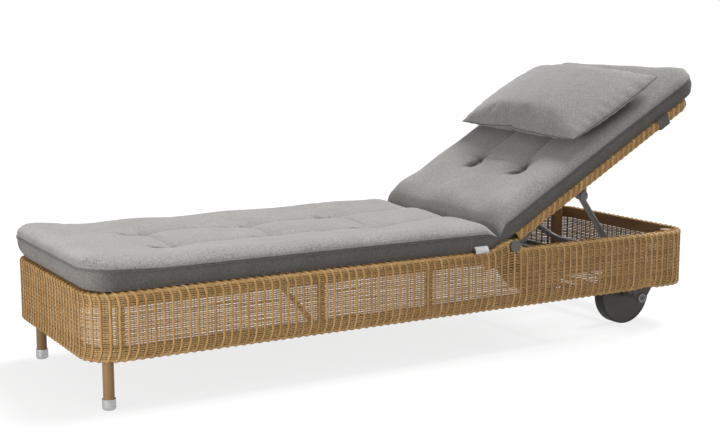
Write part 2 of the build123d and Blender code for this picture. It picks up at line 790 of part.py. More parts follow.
# Tongues that carry the backrest on the hinge pins
with BuildPart() as hinge_tongues:
    with BuildSketch(Plane((hinge_x, 0, hinge_z), x_dir=back_plane.x_dir, z_dir=(0, -1, 0))):
        Circle(hinge_lug_radius)
        with BuildLine():
            Polyline(
                (0, -hinge_lug_radius),
                (tongue_length / 2, -tongue_drop),
                (tongue_length, back_offset - back_tube / 2),
                (tongue_length, back_offset + back_tube / 2),
                (back_start, back_offset + back_tube / 2),
                (0, hinge_lug_radius),
                close=True,
            )
        make_face()
        Circle(lug_bore, mode=Mode.SUBTRACT)
    extrude(amount=tongue_outer_y, both=True)
    with Locations((hinge_x, 0, hinge_z)):
        Box(skin_reach, 2 * tongue_inner_y, skin_reach, mode=Mode.SUBTRACT)
save(hinge_tongues, "hinge_tongues")

# Cross tubes and the woven panel of the backrest
panel_low = back_cross_place + back_tube / 2 + fit_gap
panel_high = back_length - wrap_size - fit_gap
panel_top = back_top - back_wrap
with BuildPart(back_plane) as back_cross:
    with Locations(Location((back_cross_place, -tongue_inner_y + fit_gap, back_offset), (0, 0, 90))):
        box_tube(back_tube, back_tube_wall, 2 * (tongue_inner_y - fit_gap))
save(back_cross, "back_cross_tube")

with BuildPart(back_plane) as back_slats:
    slat_z = panel_top - back_panel_thickness - back_slat_height / 2
    for index in range(back_slat_count):
        slat_s = panel_low + (index + 1) * (panel_high - panel_low) / (back_slat_count + 1)
        with Locations((slat_s, 0, slat_z)):
            Box(back_slat_width, 2 * (back_inner_y - fit_gap), back_slat_height)
save(back_slats, "back_slats")

with BuildPart() as back_panel:
    with BuildSketch(back_plane.offset(panel_top - back_panel_thickness)):
        with Locations(((panel_low + panel_high) / 2, 0)):
            Rectangle(panel_high - panel_low, 2 * (back_inner_y - fit_gap))
        panel_corners = [(panel_high, sign * (back_inner_y - fit_gap)) for side, sign in sides]
        with Locations(*panel_corners):
            Rectangle(2 * panel_notch, 2 * panel_notch, rotation=45, mode=Mode.SUBTRACT)
        tongue_corners = [(panel_low, sign * back_inner_y) for side, sign in sides]
        tongue_room = (tongue_length + fit_gap - panel_low, back_inner_y - tongue_inner_y + fit_gap)
        with Locations(*tongue_corners):
            Rectangle(2 * tongue_room[0], 2 * tongue_room[1], mode=Mode.SUBTRACT)
    extrude(amount=back_panel_thickness)
save(back_panel, "back_panel")

# Lugs under the backrest's side tubes, for the bail
lug_outer_y = rail_inner_y - bail_cap_thickness - body_gap - fit_gap
lug_inner_y = lug_outer_y - bail_lug_thickness
with BuildPart() as bail_lugs:
    with BuildSketch(Plane(bail_pivot, x_dir=back_plane.x_dir, z_dir=(0, -1, 0))):
        Circle(bail_lug_radius)
        with BuildLine():
            Polyline(
                (-bail_lug_radius, 0),
                (bail_lug_radius, 0),
                (bail_lug_length / 2, bail_drop + back_bottom - fit_gap),
                (-bail_lug_length / 2, bail_drop + back_bottom - fit_gap),
                close=True,
            )
        make_face()
        Circle(bail_pin_diameter / 2 + fit_gap, mode=Mode.SUBTRACT)
    extrude(amount=lug_outer_y, both=True)
    with Locations(bail_pivot):
        Box(skin_reach, 2 * lug_inner_y, skin_reach, mode=Mode.SUBTRACT)
save(bail_lugs, "bail_lugs")

# Bail: one bent tube with an eye at each end
eye_outer_y = lug_inner_y - body_gap
eye_middle_y = eye_outer_y - bail_eye_length / 2
bail_plane = Plane(
    bail_pivot,
    x_dir=(cos(radians(bail_angle)), 0, -sin(radians(bail_angle))),
    z_dir=(sin(radians(bail_angle)), 0, cos(radians(bail_angle))),
)
with BuildPart() as bail:
    with BuildLine(bail_plane) as bail_path:
        FilletPolyline(
            (0, -eye_middle_y),
            (bail_reach, -bail_bottom_span / 2),
            (bail_reach, bail_bottom_span / 2),
            (0, eye_middle_y),
            radius=bail_bend_radius,
        )
    with BuildSketch(Plane(bail_path.line @ 0, z_dir=bail_path.line % 0)):
        Circle(bail_tube / 2)
    sweep()
    for side, sign in sides:
        with BuildSketch(Plane(bail_pivot, x_dir=(1, 0, 0), z_dir=(0, sign, 0)).offset(eye_outer_y)):
            Circle(bail_eye_diameter / 2)
        extrude(amount=-bail_eye_length)
        with BuildSketch(Plane(bail_pivot, x_dir=(1, 0, 0), z_dir=(0, sign, 0)).offset(eye_outer_y)):
            Circle(bail_eye_diameter)
        extrude(amount=bail_eye_diameter, mode=Mode.SUBTRACT)
    with BuildSketch(Plane(bail_pivot, x_dir=(1, 0, 0), z_dir=(0, -1, 0))):
        Circle(bail_pin_diameter / 2 + running_gap)
    extrude(amount=base_width, both=True, mode=Mode.SUBTRACT)
save(bail, "bail")

# Pins with flat caps that hold the bail in its lugs
with BuildPart() as bail_pins:
    for side, sign in sides:
        cap_plane = Plane(bail_pivot, x_dir=(1, 0, 0), z_dir=(0, sign, 0)).offset(lug_outer_y)
        with BuildSketch(cap_plane):
            Circle(bail_cap_diameter / 2)
        extrude(amount=bail_cap_thickness)
        with BuildSketch(cap_plane):
            Circle(bail_pin_diameter / 2)
        extrude(amount=-(bail_lug_thickness + bail_eye_length + 2 * body_gap))
save(bail_pins, "bail_pins")

# Straps that tie the cushion round the backrest's side tubes
with BuildPart(back_plane) as cushion_straps:
    strap_inner_y = back_outer_y + strap_gap
    strap_low = back_bottom - strap_gap - strap_thickness
    strap_high = back_top + strap_gap + strap_thickness
    with Locations((strap_place, 0, (strap_low + strap_high) / 2)):
        Box(strap_width, 2 * (strap_inner_y + strap_thickness), strap_high - strap_low)
        Box(strap_width, 2 * strap_inner_y, back_top - back_bottom + 2 * strap_gap, mode=Mode.SUBTRACT)
        Box(strap_width, 2 * (back_outer_y - strap_tail), skin_reach, mode=Mode.SUBTRACT)
save(cushion_straps, "cushion_straps")


def corner_draw(distance, radius):
    """How far a side stands in from its straight line, at a distance from a rounded end."""
    if distance >= radius:
        return 0.0
    return radius - sqrt(radius**2 - (radius - distance) ** 2)


def cushion_section(plane, half_width, floor, seam, crown, dip):
    """Cross section of a cushion: flat below, bulged sides, three swells over two tuft lines."""
    edge = half_width - cushion_side_bulge
    tuft = tuft_spacing / 2
    with BuildSketch(plane) as section:
        with BuildLine():
            Line((-edge, floor), (edge, floor))
            ThreePointArc((edge, floor), (half_width, (floor + seam) / 2), (edge, seam))
            ThreePointArc((edge, seam), ((edge + tuft) / 2, seam + crown), (tuft, seam + dip))
            ThreePointArc((tuft, seam + dip), (0, seam + crown), (-tuft, seam + dip))
            ThreePointArc((-tuft, seam + dip), (-(edge + tuft) / 2, seam + crown), (-edge, seam))
            ThreePointArc((-edge, seam), (-half_width, (floor + seam) / 2), (-edge, floor))
        make_face()
    return section.sketch


def tuft_stations(length, rows, crown):
    """Distance, crown and dip of the sections between the two ends of a tufted cushion."""
    bay = length / (rows + 1)
    shoulder = crown - tuft_shoulder
    stations = []
    for row in range(rows):
        tuft = (row + 1) * bay
        stations.append((tuft - bay / 2, crown, shoulder))
        stations.append((tuft - tuft_reach, crown, shoulder / 2))
        stations.append((tuft, shoulder, -tuft_depth))
        stations.append((tuft + tuft_reach, crown, shoulder / 2))
    stations.append((length - bay / 2, crown, shoulder))
    return stations


def side_draw(distance, length):
    """Sides of a cushion pull in between its corners, most at the middle of its length."""
    middle = 2 * distance / length - 1
    return cushion_draw_in * (1 - middle**2)


# Seat cushion, from beyond the foot end to the fold
seat_floor = base_top_z + cushion_gap
seat_start_x = foot_end_x - cushion_overhang
seat_end_x = hinge_x - seat_cushion_end_gap
seat_length = seat_end_x - seat_start_x
with BuildPart() as seat_cushion:
    sections = []
    stations = [(distance, cushion_crown * rise, cushion_crown * rise / 2) for distance, rise in end_rises]
    stations += tuft_stations(seat_length, seat_tuft_rows, cushion_crown)
    stations += [
        (seat_length - distance, cushion_crown * rise, cushion_crown * rise / 2)
        for distance, rise in reversed(end_rises)
    ]
    for distance, crown, dip in stations:
        half_width = cushion_width / 2 - side_draw(distance, seat_length)
        half_width -= corner_draw(distance, cushion_corner_radius)
        half_width -= corner_draw(seat_length - distance, fold_corner_radius)
        plane = Plane((seat_start_x + distance, 0, 0), x_dir=(0, 1, 0), z_dir=(1, 0, 0))
        sections.append(
            cushion_section(plane, half_width, seat_floor, seat_floor + cushion_boxing, crown, dip)
        )
    loft(sections=sections)
save(seat_cushion, "seat_cushion")

# Back cushion, with a ramp at the fold that leaves room for the seat when the back stands up
with BuildPart() as back_cushion:
    back_boxing = cushion_floor + cushion_boxing
    stations = []
    for share in (0.0, 0.5, 1.0):
        ramp_seam = cushion_floor + fold_toe + (cushion_boxing - fold_toe) * share
        stations.append((fold_ramp * share, ramp_seam, fold_lift * (1 + share)))
    rows = tuft_stations(back_cushion_end, back_tuft_rows, back_cushion_crown)
    ends = [
        (back_cushion_end - distance, back_cushion_crown * rise, back_cushion_crown * rise / 2)
        for distance, rise in reversed(end_rises)
    ]
    sections = []
    places = [(place, seam, lift, lift / 2) for place, seam, lift in stations]
    places += [(place, back_boxing, crown, dip) for place, crown, dip in rows + ends]
    for place, seam, crown, dip in places:
        half_width = cushion_width / 2 - side_draw(place, back_cushion_end)
        half_width -= corner_draw(back_cushion_end - place, cushion_corner_radius)
        half_width -= corner_draw(place, fold_corner_radius)
        plane = Plane(
            back_plane.from_local_coords((place, 0, 0)), x_dir=(0, 1, 0), z_dir=back_plane.x_dir
        )
        sections.append(cushion_section(plane, half_width, cushion_floor, seam, crown, dip))
    loft(sections=sections)
save(back_cushion, "back_cushion")

# Pillow on the upper back: two swelling faces that meet in a thin sewn edge
pillow_middle = cushion_floor + cushion_boxing + back_cushion_crown + cushion_gap + pillow_thickness / 2
with BuildPart() as pillow:
    for index in range(-pillow_half_sections, pillow_half_sections + 1):
        angle = radians(pillow_end_angle) * index / pillow_half_sections
        share = sin(angle)
        swell = cos(angle)
        half_length = pillow_length / 2 - pillow_draw_in * (1 - share**2)
        plane = Plane(
            back_plane.from_local_coords((pillow_place, -share * pillow_width / 2, pillow_middle)),
            x_dir=back_plane.x_dir,
            z_dir=(0, -1, 0),
        )
        end_rise = pillow_edge / 2 + pillow_end_rise
        rise = end_rise + swell * (pillow_thickness / 2 - end_rise)
        with BuildSketch(plane):
            with BuildLine():
                Line((-half_length, -pillow_edge / 2), (-half_length, pillow_edge / 2))
                ThreePointArc((-half_length, pillow_edge / 2), (0, rise), (half_length, pillow_edge / 2))
                Line((half_length, pillow_edge / 2), (half_length, -pillow_edge / 2))
                ThreePointArc((half_length, -pillow_edge / 2), (0, -rise), (-half_length, -pillow_edge / 2))
            make_face()
    loft()
save(pillow, "pillow")
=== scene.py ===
"""Looks of the reclining sun lounger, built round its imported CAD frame.

Metres, in the frame's own axes: +X from the foot end to the head end, +Z up.
"""

import json
import math

import bpy
import numpy as np
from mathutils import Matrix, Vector


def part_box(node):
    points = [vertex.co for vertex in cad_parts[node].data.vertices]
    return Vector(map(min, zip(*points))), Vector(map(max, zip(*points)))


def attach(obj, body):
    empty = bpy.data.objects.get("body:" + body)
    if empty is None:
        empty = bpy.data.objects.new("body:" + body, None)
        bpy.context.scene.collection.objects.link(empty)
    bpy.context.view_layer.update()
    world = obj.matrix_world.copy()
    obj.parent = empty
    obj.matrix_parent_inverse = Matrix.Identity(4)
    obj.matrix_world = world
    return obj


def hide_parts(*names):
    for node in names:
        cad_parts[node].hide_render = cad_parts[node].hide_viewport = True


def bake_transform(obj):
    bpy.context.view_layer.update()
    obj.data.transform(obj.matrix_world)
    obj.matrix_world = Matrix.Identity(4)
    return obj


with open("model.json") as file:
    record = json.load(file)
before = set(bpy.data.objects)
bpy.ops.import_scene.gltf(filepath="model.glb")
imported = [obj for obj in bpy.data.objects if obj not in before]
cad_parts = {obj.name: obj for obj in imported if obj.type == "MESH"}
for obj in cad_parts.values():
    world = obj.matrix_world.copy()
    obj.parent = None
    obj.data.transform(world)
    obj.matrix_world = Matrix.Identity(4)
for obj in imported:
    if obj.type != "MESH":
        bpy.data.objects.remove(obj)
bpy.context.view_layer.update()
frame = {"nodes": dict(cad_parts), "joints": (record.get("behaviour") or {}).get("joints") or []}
nodes = frame["nodes"]
joints = {joint["name"]: joint for joint in frame["joints"]}
rng = np.random.default_rng(20)
mm = 0.001
half_pi = math.pi / 2
tau = 2 * math.pi

# Camera, at the photograph's viewing angle
camera_place = (-2.0232, -3.3938, 1.0048)
camera_yaw = math.radians(30.39)
camera_pitch = math.radians(9.04)
camera_lens = 64.26
camera_sensor = 36.0
camera_reach = 200.0

# Light and floor; each soft lamp has a name, place, target, size and watts
ambient_colour = (0.97, 0.985, 1.0, 1.0)
ambient_strength = 0.28
key_way = (-0.50, -0.10, -0.86)
key_strength = 3.0
key_angle = math.radians(32)
soft_lamps = (
    ("fill", (-3.0, -1.2, 0.35), (0.0, 0.0, 0.3), 1.6, 42.0),
    ("front", (-0.4, -4.6, 1.6), (0.0, 0.0, 0.2), 3.0, 12.5),
)
white = (1.0, 1.0, 1.0, 1.0)
floor_half = 40.0
floor_bounce = (0.42, 0.42, 0.42, 1.0)
floor_shown = (0.24, 0.24, 0.24, 1.0)
floor_glow = 0.80

# Weave of the base; a section is half a strand's width and half its depth
base_radius = 0.095
rim_radius = 0.010
rim_lip = 0.0262
stake_pitch = 0.0240
stake_section = (0.0036, 0.0016)
stake_depth = 0.0014
stake_top_lean = 0.015
stake_top_run = (0.016, 0.040)  # starts past the bend, takes
stake_bottom_lean = 0.013
stake_bottom_run = (0.026, 0.045)
stake_jitter = 0.0004
stake_steps = (3, 5, 13, 5, 3)
thin_stake_place = 0.5
thin_stake_section = (0.0009, 0.0009)
thin_stake_depth = 0.0022
thin_stake_jitter = 0.0008
thin_stake_steps = 12
weaver_pitch = 0.0057
weaver_section = (0.00265, 0.0012)
weaver_depths = (0.0040, 0.0033, 0.0028, 0.0033)
weaver_sway = (0.0, 0.0, 0.0006, 0.0)
weaver_wander = 0.0003
weaver_waves = 40

# Rim over the hinge pins and lower edge over the wheels
hump_run = 0.110
hump_radius = 0.021
hump_fall = 0.034
hump_level = (0.010, 0.008)
hump_from = 0.5
hump_rows = 14
hump_steps = 32
hump_depth = 0.0085
hump_section = (0.0031, 0.0012)
cap_radius = 0.0175
cap_push = 0.0080
notch_half_width = 0.045
notch_lift = 0.006
notch_to = 0.35

# Weave of the backrest and of the decks
rest_angle = math.radians(29.6)
wrap_round = 0.009
wrap_lean = 0.011
wrap_gap = 0.010
wrap_steps = 24
back_stake_section = (0.0046, 0.0022)
back_stake_depth = 0.0012
wrap_weavers = 20
back_weaver_section = (0.0019, 0.0013)
back_weaver_depth = 0.0020
back_weaver_sway = 0.0005
deck_pitch = 0.020
deck_strap_section = (0.0078, 0.0009)
deck_sway = 0.0012
seat_deck_corner = 0.068
back_panel_corner = 0.030

# Pads of the cushion: grid rows, tufts, stuffing, valleys along it and thinning to the fold
seat_pad = dict(
    rows=212, tuft_rows=3, crown=0.032, valley_depth=0.70, valley_end=0.60, wedge=0.075
)
back_pad = dict(
    rows=140, tuft_rows=2, crown=0.035, valley_depth=0.50, valley_end=0.14, wedge=0.110
)

# Cushion's outline and fold
seat_boxing = 0.046
back_boxing = 0.044
cushion_raise = 0.005
cushion_half_width = 0.337
cushion_corner_radius = 0.078
foot_inset = 0.012
cushion_draw_in = 0.005
head_reach = 0.034
fold_place = 0.049
fold_height = 0.030
fold_thickness = 0.022
fold_draw_in = 0.010
fold_draw_run = 0.05
seat_taper = 0.055
back_taper = 0.040
under_taper = 0.040
foot_lift = 0.010
foot_lift_run = 0.24
tuck_run = 0.10
foot_tuck = 0.018
head_tuck = 0.0108
seat_side_tuck = 0.008
back_side_tuck = 0.0048
seat_under_lift = 0.0005
seat_under_run = 0.03
back_under_lift = 0.00025
back_under_run = 0.05
foot_under_lift = 0.003

# Cushion's grid, closer where it rolls over at the edge and round the tufts
cushion_columns = 117
edge_roll = 0.050
edge_steps = 7
edge_step_degrees = 7.0
dense_extra = 5.0
dense_reach = 0.024
dense_samples = 2000

# Tufts and valleys; a pair of widths is for the two sides of a fold
tuft_column = 0.112
column_bow = 0.010
tuft_reach = 0.034
tuft_draw = 1.35
tuft_crease = 0.0026
tuft_bare = 0.012
tuft_spokes = ((5, 1.0), (8, 0.7))
tuft_lean = (0.1, 0.5)
tuft_fold_place = 0.034
tuft_fold_reach = 0.026
tuft_fold_depth = 0.0170
tuft_fold_width = (0.042, 0.0045)
tuft_shade_width = (0.010, 0.0060)
tuft_shade_radius = 0.015
across_valley = 0.40
across_fade = 0.05
across_past = 0.7
valley_fade = 0.09
valley_width = 0.019
valley_sharpness = 0.7

# Billows, wrinkles and puckers of the fabric
billows = 9
billow_height = 0.0008
billow_length = (0.13, 0.32)
creases_per_metre = 26
crease_turn = (0.3, 1.1)
crease_half_length = (0.05, 0.11)
crease_width = (0.008, 0.014)
crease_depth = (0.0008, 0.0022)
pucker_height = 0.0004
pucker_reach = 0.022
along_pucker = (0.046, 11)
across_pucker = (0.051, 9)

# Boxing, as shares of its height with a bulge in millimetres, its seams and its tag
band_rows = (
    (0.0, 0.0), (0.08, 1.6), (0.14, 0.6), (0.19, 2.0), (0.33, 4.0), (0.5, 5.0),
    (0.67, 4.4), (0.81, 2.6), (0.87, 1.2), (0.93, 1.6), (1.0, 0.0),
)
band_wave_height = 0.0011
band_wave_count = 120
top_seam = (0.0006, 0.0017)
second_seam_radius = 0.0011
under_seam = (0.0004, 0.0014)
joint_place = 0.153
joint_section = (0.0011, 0.0009)
tag_place = 0.184
tag_path = ((-0.338, 0.3330), (-0.3440, 0.3275), (-0.3482, 0.3205), (-0.3485, 0.3130))
tag_section = (0.033, 0.0009)

# Axle caps
cap_steps = 28
cap_ring = (0.78, 0.0011)
cap_mark = (0.10, 0.0016)
cap_mark_half_depth = 0.0008

# Pillow
cloth_settings = dict(
    quality=6, mass=0.25, tension_stiffness=12.0, compression_stiffness=12.0, shear_stiffness=4.0,
    bending_stiffness=0.35, air_damping=2.0, use_pressure=True, uniform_pressure_force=1.6,
)
pillow_cut = (0.380, 0.645)
pillow_bow = (0.085, 0.045)
pillow_turn = 0.04
pillow_place = 0.562
pillow_flat_lift = 0.020
pillow_half_height = 0.057
pillow_sink = 0.016
pillow_blown = 0.55
pillow_frames = 24
pillow_gather = 0.0028
pillow_gather_reach = 0.026
pillow_gather_bare = 0.012
pillow_gather_length = 0.043
pillow_gather_sway = (2.2, 15)
pillow_pleat_length = 0.011
pillow_pleats = 0.6
pillow_step = 0.0085
pillow_seam_section = (0.0020, 0.0020)


def unit(vectors):
    """The same vectors, each one metre long."""
    return vectors / np.maximum(np.linalg.norm(vectors, axis=-1, keepdims=True), 1e-12)


def smooth(t):
    """Smooth step from 0 at t = 0 to 1 at t = 1."""
    t = np.clip(t, 0.0, 1.0)
    return t * t * (3.0 - 2.0 * t)


def bell(off, width):
    """A soft bump, 1 high in its middle."""
    return np.exp(-((off / width) ** 2))


def turned(x, y, angle):
    """Places ahead and aside, seen along a direction at an angle."""
    ahead = x * math.cos(angle) + y * math.sin(angle)
    return ahead, y * math.cos(angle) - x * math.sin(angle)


def wander(places, length, waves):
    """A smooth random line along a closed length, about 1 high."""
    turns = tau * np.asarray(places) / length
    total = np.zeros_like(turns)
    for wave in range(1, waves + 1):
        total += rng.normal() * np.cos(wave * turns + rng.uniform(0, tau))
    return total / math.sqrt(waves)


def rounded_in(gap, radius):
    """How far a side stands in at a distance from an end with rounded corners."""
    short = np.clip(radius - gap, 0, radius)
    return radius - np.sqrt(np.maximum(radius**2 - short**2, 0))


def link(obj):
    """Put an object in the scene."""
    bpy.context.scene.collection.objects.link(obj)
    return obj


# Stage: camera, white surround, lamps and floor
camera_data = bpy.data.cameras.new("camera")
camera_data.lens = camera_lens
camera_data.sensor_width = camera_sensor
camera_data.clip_end = camera_reach
camera = link(bpy.data.objects.new("camera", camera_data))
camera.location = camera_place
camera.rotation_euler = (half_pi - camera_pitch, 0.0, -camera_yaw)
scene = bpy.context.scene
scene.camera = camera
scene.view_settings.view_transform = "Standard"


class Nodes:
    """Short calls for building one node tree."""

    def __init__(self, tree):
        self.tree = tree
        tree.nodes.clear()

    def add(self, kind, **settings):
        """A node with its inputs and properties set."""
        node = self.tree.nodes.new(kind)
        for name, value in settings.items():
            if name in node.inputs:
                node.inputs[name].default_value = value
            else:
                setattr(node, name, value)
        return node

    def join(self, output, node, place):
        self.tree.links.new(output, node.inputs[place])

    def math(self, operation, *values):
        """The result of a calculation on numbers and sockets."""
        node = self.add("ShaderNodeMath", operation=operation)
        for index, value in enumerate(values):
            if isinstance(value, bpy.types.NodeSocket):
                self.join(value, node, index)
            else:
                node.inputs[index].default_value = value
        return node.outputs[0]

    def around_half(self, value, factor):
        """How far a value is from one half, times a factor."""
        return self.math("MULTIPLY", self.math("SUBTRACT", value, 0.5), factor)

    def noise(self, vector, scale, detail=3.0, roughness=0.55):
        node = self.add("ShaderNodeTexNoise", Scale=scale, Detail=detail, Roughness=roughness)
        self.join(vector, node, "Vector")
        return node.outputs["Fac"]

    def ramp(self, factor, spread, colours):
        """Linear colours along a factor, evenly over the spread."""
        node = self.add("ShaderNodeValToRGB")
        elements = node.color_ramp.elements
        while len(elements) < len(colours):
            elements.new(0.5)
        places = np.linspace(*spread, len(colours))
        for element, place, colour in zip(elements, places, colours):
            element.position = place
            element.color = (*colour, 1.0)
        self.join(factor, node, "Fac")
        return node.outputs["Color"]

    def scaled(self, colour, factor):
        """A colour made lighter or darker by a factor."""
        node = self.add("ShaderNodeVectorMath", operation="SCALE")
        self.join(colour, node, 0)
        self.join(factor, node, "Scale")
        return node.outputs[0]

    def show(self, lighting, shown, output):
        """One shader for rays that carry light, another for those that show a background.

        Those come from the camera, off gloss and through glass.
        """
        path = self.add("ShaderNodeLightPath").outputs
        both = self.math("MAXIMUM", path["Is Camera Ray"], path["Is Glossy Ray"])
        mixed = self.add("ShaderNodeMixShader")
        self.join(self.math("MAXIMUM", both, path["Is Transmission Ray"]), mixed, 0)
        self.join(lighting.outputs[0], mixed, 1)
        self.join(shown.outputs[0], mixed, 2)
        self.join(mixed.outputs[0], self.add(output), "Surface")


scene.world = bpy.data.worlds.new("world")
scene.world.use_nodes = True
tree = Nodes(scene.world.node_tree)
ambient = tree.add("ShaderNodeBackground", Color=ambient_colour, Strength=ambient_strength)
surround = tree.add("ShaderNodeBackground", Color=white, Strength=1.0)
tree.show(ambient, surround, "ShaderNodeOutputWorld")


def aimed(way):
    """Rotation of a lamp that shines along a direction."""
    return Vector(way).to_track_quat("-Z", "Y").to_euler()


key_data = bpy.data.lights.new("key", "SUN")
key_data.energy = key_strength
key_data.angle = key_angle
key = link(bpy.data.objects.new("key", key_data))
key.rotation_euler = aimed(key_way)
for name, place, target, size, watts in soft_lamps:
    lamp_data = bpy.data.lights.new(name, "AREA")
    lamp_data.size = size
    lamp_data.energy = watts
    lamp = link(bpy.data.objects.new(name, lamp_data))
    lamp.location = place
    lamp.rotation_euler = aimed(Vector(target) - Vector(place))

floor_mesh = bpy.data.meshes.new("floor")
floor_corners = ((-1, -1), (1, -1), (1, 1), (-1, 1))
floor_mesh.from_pydata(
    [(x * floor_half, y * floor_half, 0) for x, y in floor_corners], [], [(0, 1, 2, 3)]
)
floor = link(bpy.data.objects.new("floor", floor_mesh))
floor_material = bpy.data.materials.new("floor")
floor_material.use_nodes = True
tree = Nodes(floor_material.node_tree)
lit = tree.add("ShaderNodeAddShader")
tree.join(tree.add("ShaderNodeBsdfDiffuse", Color=floor_shown).outputs[0], lit, 0)
tree.join(tree.add("ShaderNodeEmission", Color=white, Strength=floor_glow).outputs[0], lit, 1)
bounced = tree.add("ShaderNodeBsdfDiffuse", Color=floor_bounce)
tree.show(bounced, lit, "ShaderNodeOutputMaterial")
floor.data.materials.append(floor_material)


# Materials
speck_scale = 250.0
speck_calm = 0.35
rough_finer = 2.7
sheen_roughness = 0.5
wicker_spread = (0.25, 0.75)
fabric_spread = (0.1, 0.9)


def material(
    name, colours, scale, roughness, bump, spread=(0.3, 0.7), metallic=0.0,
    stretch=(1.0, 1.0, 1.0), sheen=0.0, islands=0.0, speck=0.0, painted_end_light=None, crease_shading=0.0,
):
    """A procedural finish: colours along a noise, with noises of their own for gloss and bump.

    Islands tells strands apart and speck adds a fabric's grain. The end light is painted light:
    it scales the colour up along X between two places, lighter at the lit end. The crease
    shading is painted shade: it darkens the colour where the mesh's crease attribute is high.
    """
    made = bpy.data.materials.new(name)
    made.use_nodes = True
    tree = Nodes(made.node_tree)
    shader = tree.add("ShaderNodeBsdfPrincipled", Metallic=metallic)
    shader.inputs["Sheen Weight"].default_value = sheen
    shader.inputs["Sheen Roughness"].default_value = sheen_roughness
    place = tree.add("ShaderNodeTexCoord").outputs["Object"]
    mapping = tree.add("ShaderNodeMapping", Scale=stretch)
    tree.join(place, mapping, "Vector")
    mapped = mapping.outputs[0]
    broad = tree.noise(mapped, scale)
    if islands:
        chance = tree.add("ShaderNodeNewGeometry").outputs["Random Per Island"]
        broad = tree.math("ADD", broad, tree.around_half(chance, islands))
    if speck:
        calm = tree.around_half(broad, speck_calm)
        grain = tree.around_half(tree.noise(place, speck_scale, 2.0, 0.7), speck)
        broad = tree.math("ADD", tree.math("ADD", calm, grain), 0.5)
    colour = tree.ramp(broad, spread, colours)
    # Painted light: the colour grows lighter along X between two places, towards the lit end
    if painted_end_light:
        apart = tree.add("ShaderNodeSeparateXYZ")
        tree.join(place, apart, 0)
        share = tree.add("ShaderNodeMapRange")
        tree.join(apart.outputs["X"], share, "Value")
        for socket, value in zip(("From Min", "From Max", "To Min", "To Max"), painted_end_light):
            share.inputs[socket].default_value = value
        colour = tree.scaled(colour, share.outputs[0])
    # Painted shade: the colour grows darker where the crease attribute is high, in the tufts' pits
    # and folds
    if crease_shading:
        depth = tree.add("ShaderNodeAttribute", attribute_name="crease").outputs["Fac"]
        darker = tree.math("SUBTRACT", 1.0, tree.math("MULTIPLY", depth, crease_shading))
        colour = tree.scaled(colour, darker)
    tree.join(colour, shader, "Base Color")
    low, high = roughness
    rough = tree.noise(mapped, scale * rough_finer)
    tree.join(tree.math("MULTIPLY_ADD", rough, high - low, low), shader, "Roughness")
    strength, bump_scale, distance = bump
    lift = tree.add("ShaderNodeBump", Strength=strength, Distance=distance)
    tree.join(tree.noise(mapped, bump_scale, 2.0), lift, "Height")
    tree.join(lift.outputs[0], shader, "Normal")
    tree.join(shader.outputs[0], tree.add("ShaderNodeOutputMaterial"), "Surface")
    return made


wicker = material(
    "wicker", ((0.46, 0.240, 0.074), (0.55, 0.303, 0.102), (0.65, 0.380, 0.141)),
    35.0, (0.38, 0.62), (0.25, 420.0, 0.0006), spread=wicker_spread, islands=0.5,
)
wicker_weaver = material(
    "wicker_weaver", ((0.39, 0.231, 0.081), (0.49, 0.300, 0.113), (0.61, 0.391, 0.162)),
    28.0, (0.42, 0.66), (0.25, 420.0, 0.0006), spread=wicker_spread, islands=0.45,
)
wicker_dark = material(
    "wicker_dark", ((0.16, 0.105, 0.055), (0.26, 0.175, 0.095)),
    40.0, (0.45, 0.65), (0.2, 420.0, 0.0005),
)
brown_paint = material(
    "brown_paint", ((0.26, 0.145, 0.060), (0.34, 0.195, 0.084)),
    18.0, (0.34, 0.5), (0.08, 900.0, 0.0003),
)
leg_paint = material(
    "leg_paint", ((0.27, 0.155, 0.060), (0.36, 0.21, 0.085)),
    14.0, (0.36, 0.52), (0.08, 900.0, 0.0003), stretch=(1.0, 1.0, 0.3),
)
grey_paint = material(
    "grey_paint", ((0.125, 0.122, 0.118), (0.175, 0.172, 0.168)),
    22.0, (0.34, 0.48), (0.10, 1400.0, 0.0003),
)
foot_metal = material(
    "foot_metal", ((0.40, 0.40, 0.40), (0.56, 0.56, 0.56)),
    60.0, (0.28, 0.42), (0.10, 600.0, 0.0002), metallic=0.85, stretch=(1.0, 1.0, 6.0),
)
wheel_plastic = material(
    "wheel_plastic", ((0.042, 0.038, 0.030), (0.060, 0.055, 0.044)),
    12.0, (0.42, 0.58), (0.12, 1100.0, 0.0003),
)
tyre_rubber = material(
    "tyre_rubber", ((0.008, 0.0075, 0.006), (0.016, 0.014, 0.011)),
    30.0, (0.62, 0.8), (0.2, 700.0, 0.0004),
)
bush_plastic = material(
    "bush_plastic", ((0.45, 0.45, 0.43), (0.55, 0.55, 0.53)),
    40.0, (0.4, 0.5), (0.1, 800.0, 0.0002),
)
# Fabric of the cushion's top and the pillow, with painted shade in the tufts' pits and folds
fabric = material(
    "fabric", ((0.225, 0.213, 0.203), (0.335, 0.318, 0.304), (0.445, 0.424, 0.406)),
    14.0, (0.82, 0.95), (0.35, 780.0, 0.0006), spread=fabric_spread, sheen=0.35, speck=2.2,
    crease_shading=0.72,
)
# Boxing fabric: a darker copy of the top's fabric, painted shade on the cushion's sides, made
# lighter towards the foot end by painted light
shaded_band_fabric = material(
    "shaded_band_fabric", ((0.086, 0.079, 0.072), (0.132, 0.121, 0.111), (0.178, 0.164, 0.151)),
    14.0, (0.84, 0.95), (0.35, 780.0, 0.0006), spread=fabric_spread, sheen=0.12, speck=2.0,
    painted_end_light=(-0.95, -1.02, 1.0, 1.9),
)
thread = material(
    "thread", ((0.15, 0.14, 0.13), (0.22, 0.21, 0.195)),
    80.0, (0.75, 0.9), (0.3, 900.0, 0.0004),
)
webbing = material(
    "webbing", ((0.105, 0.098, 0.092), (0.16, 0.152, 0.145)),
    60.0, (0.7, 0.85), (0.5, 500.0, 0.0005), stretch=(1.0, 4.0, 1.0),
)
tag_cloth = material(
    "tag_cloth", ((0.74, 0.735, 0.72), (0.84, 0.835, 0.82)),
    120.0, (0.7, 0.85), (0.3, 900.0, 0.0003),
)

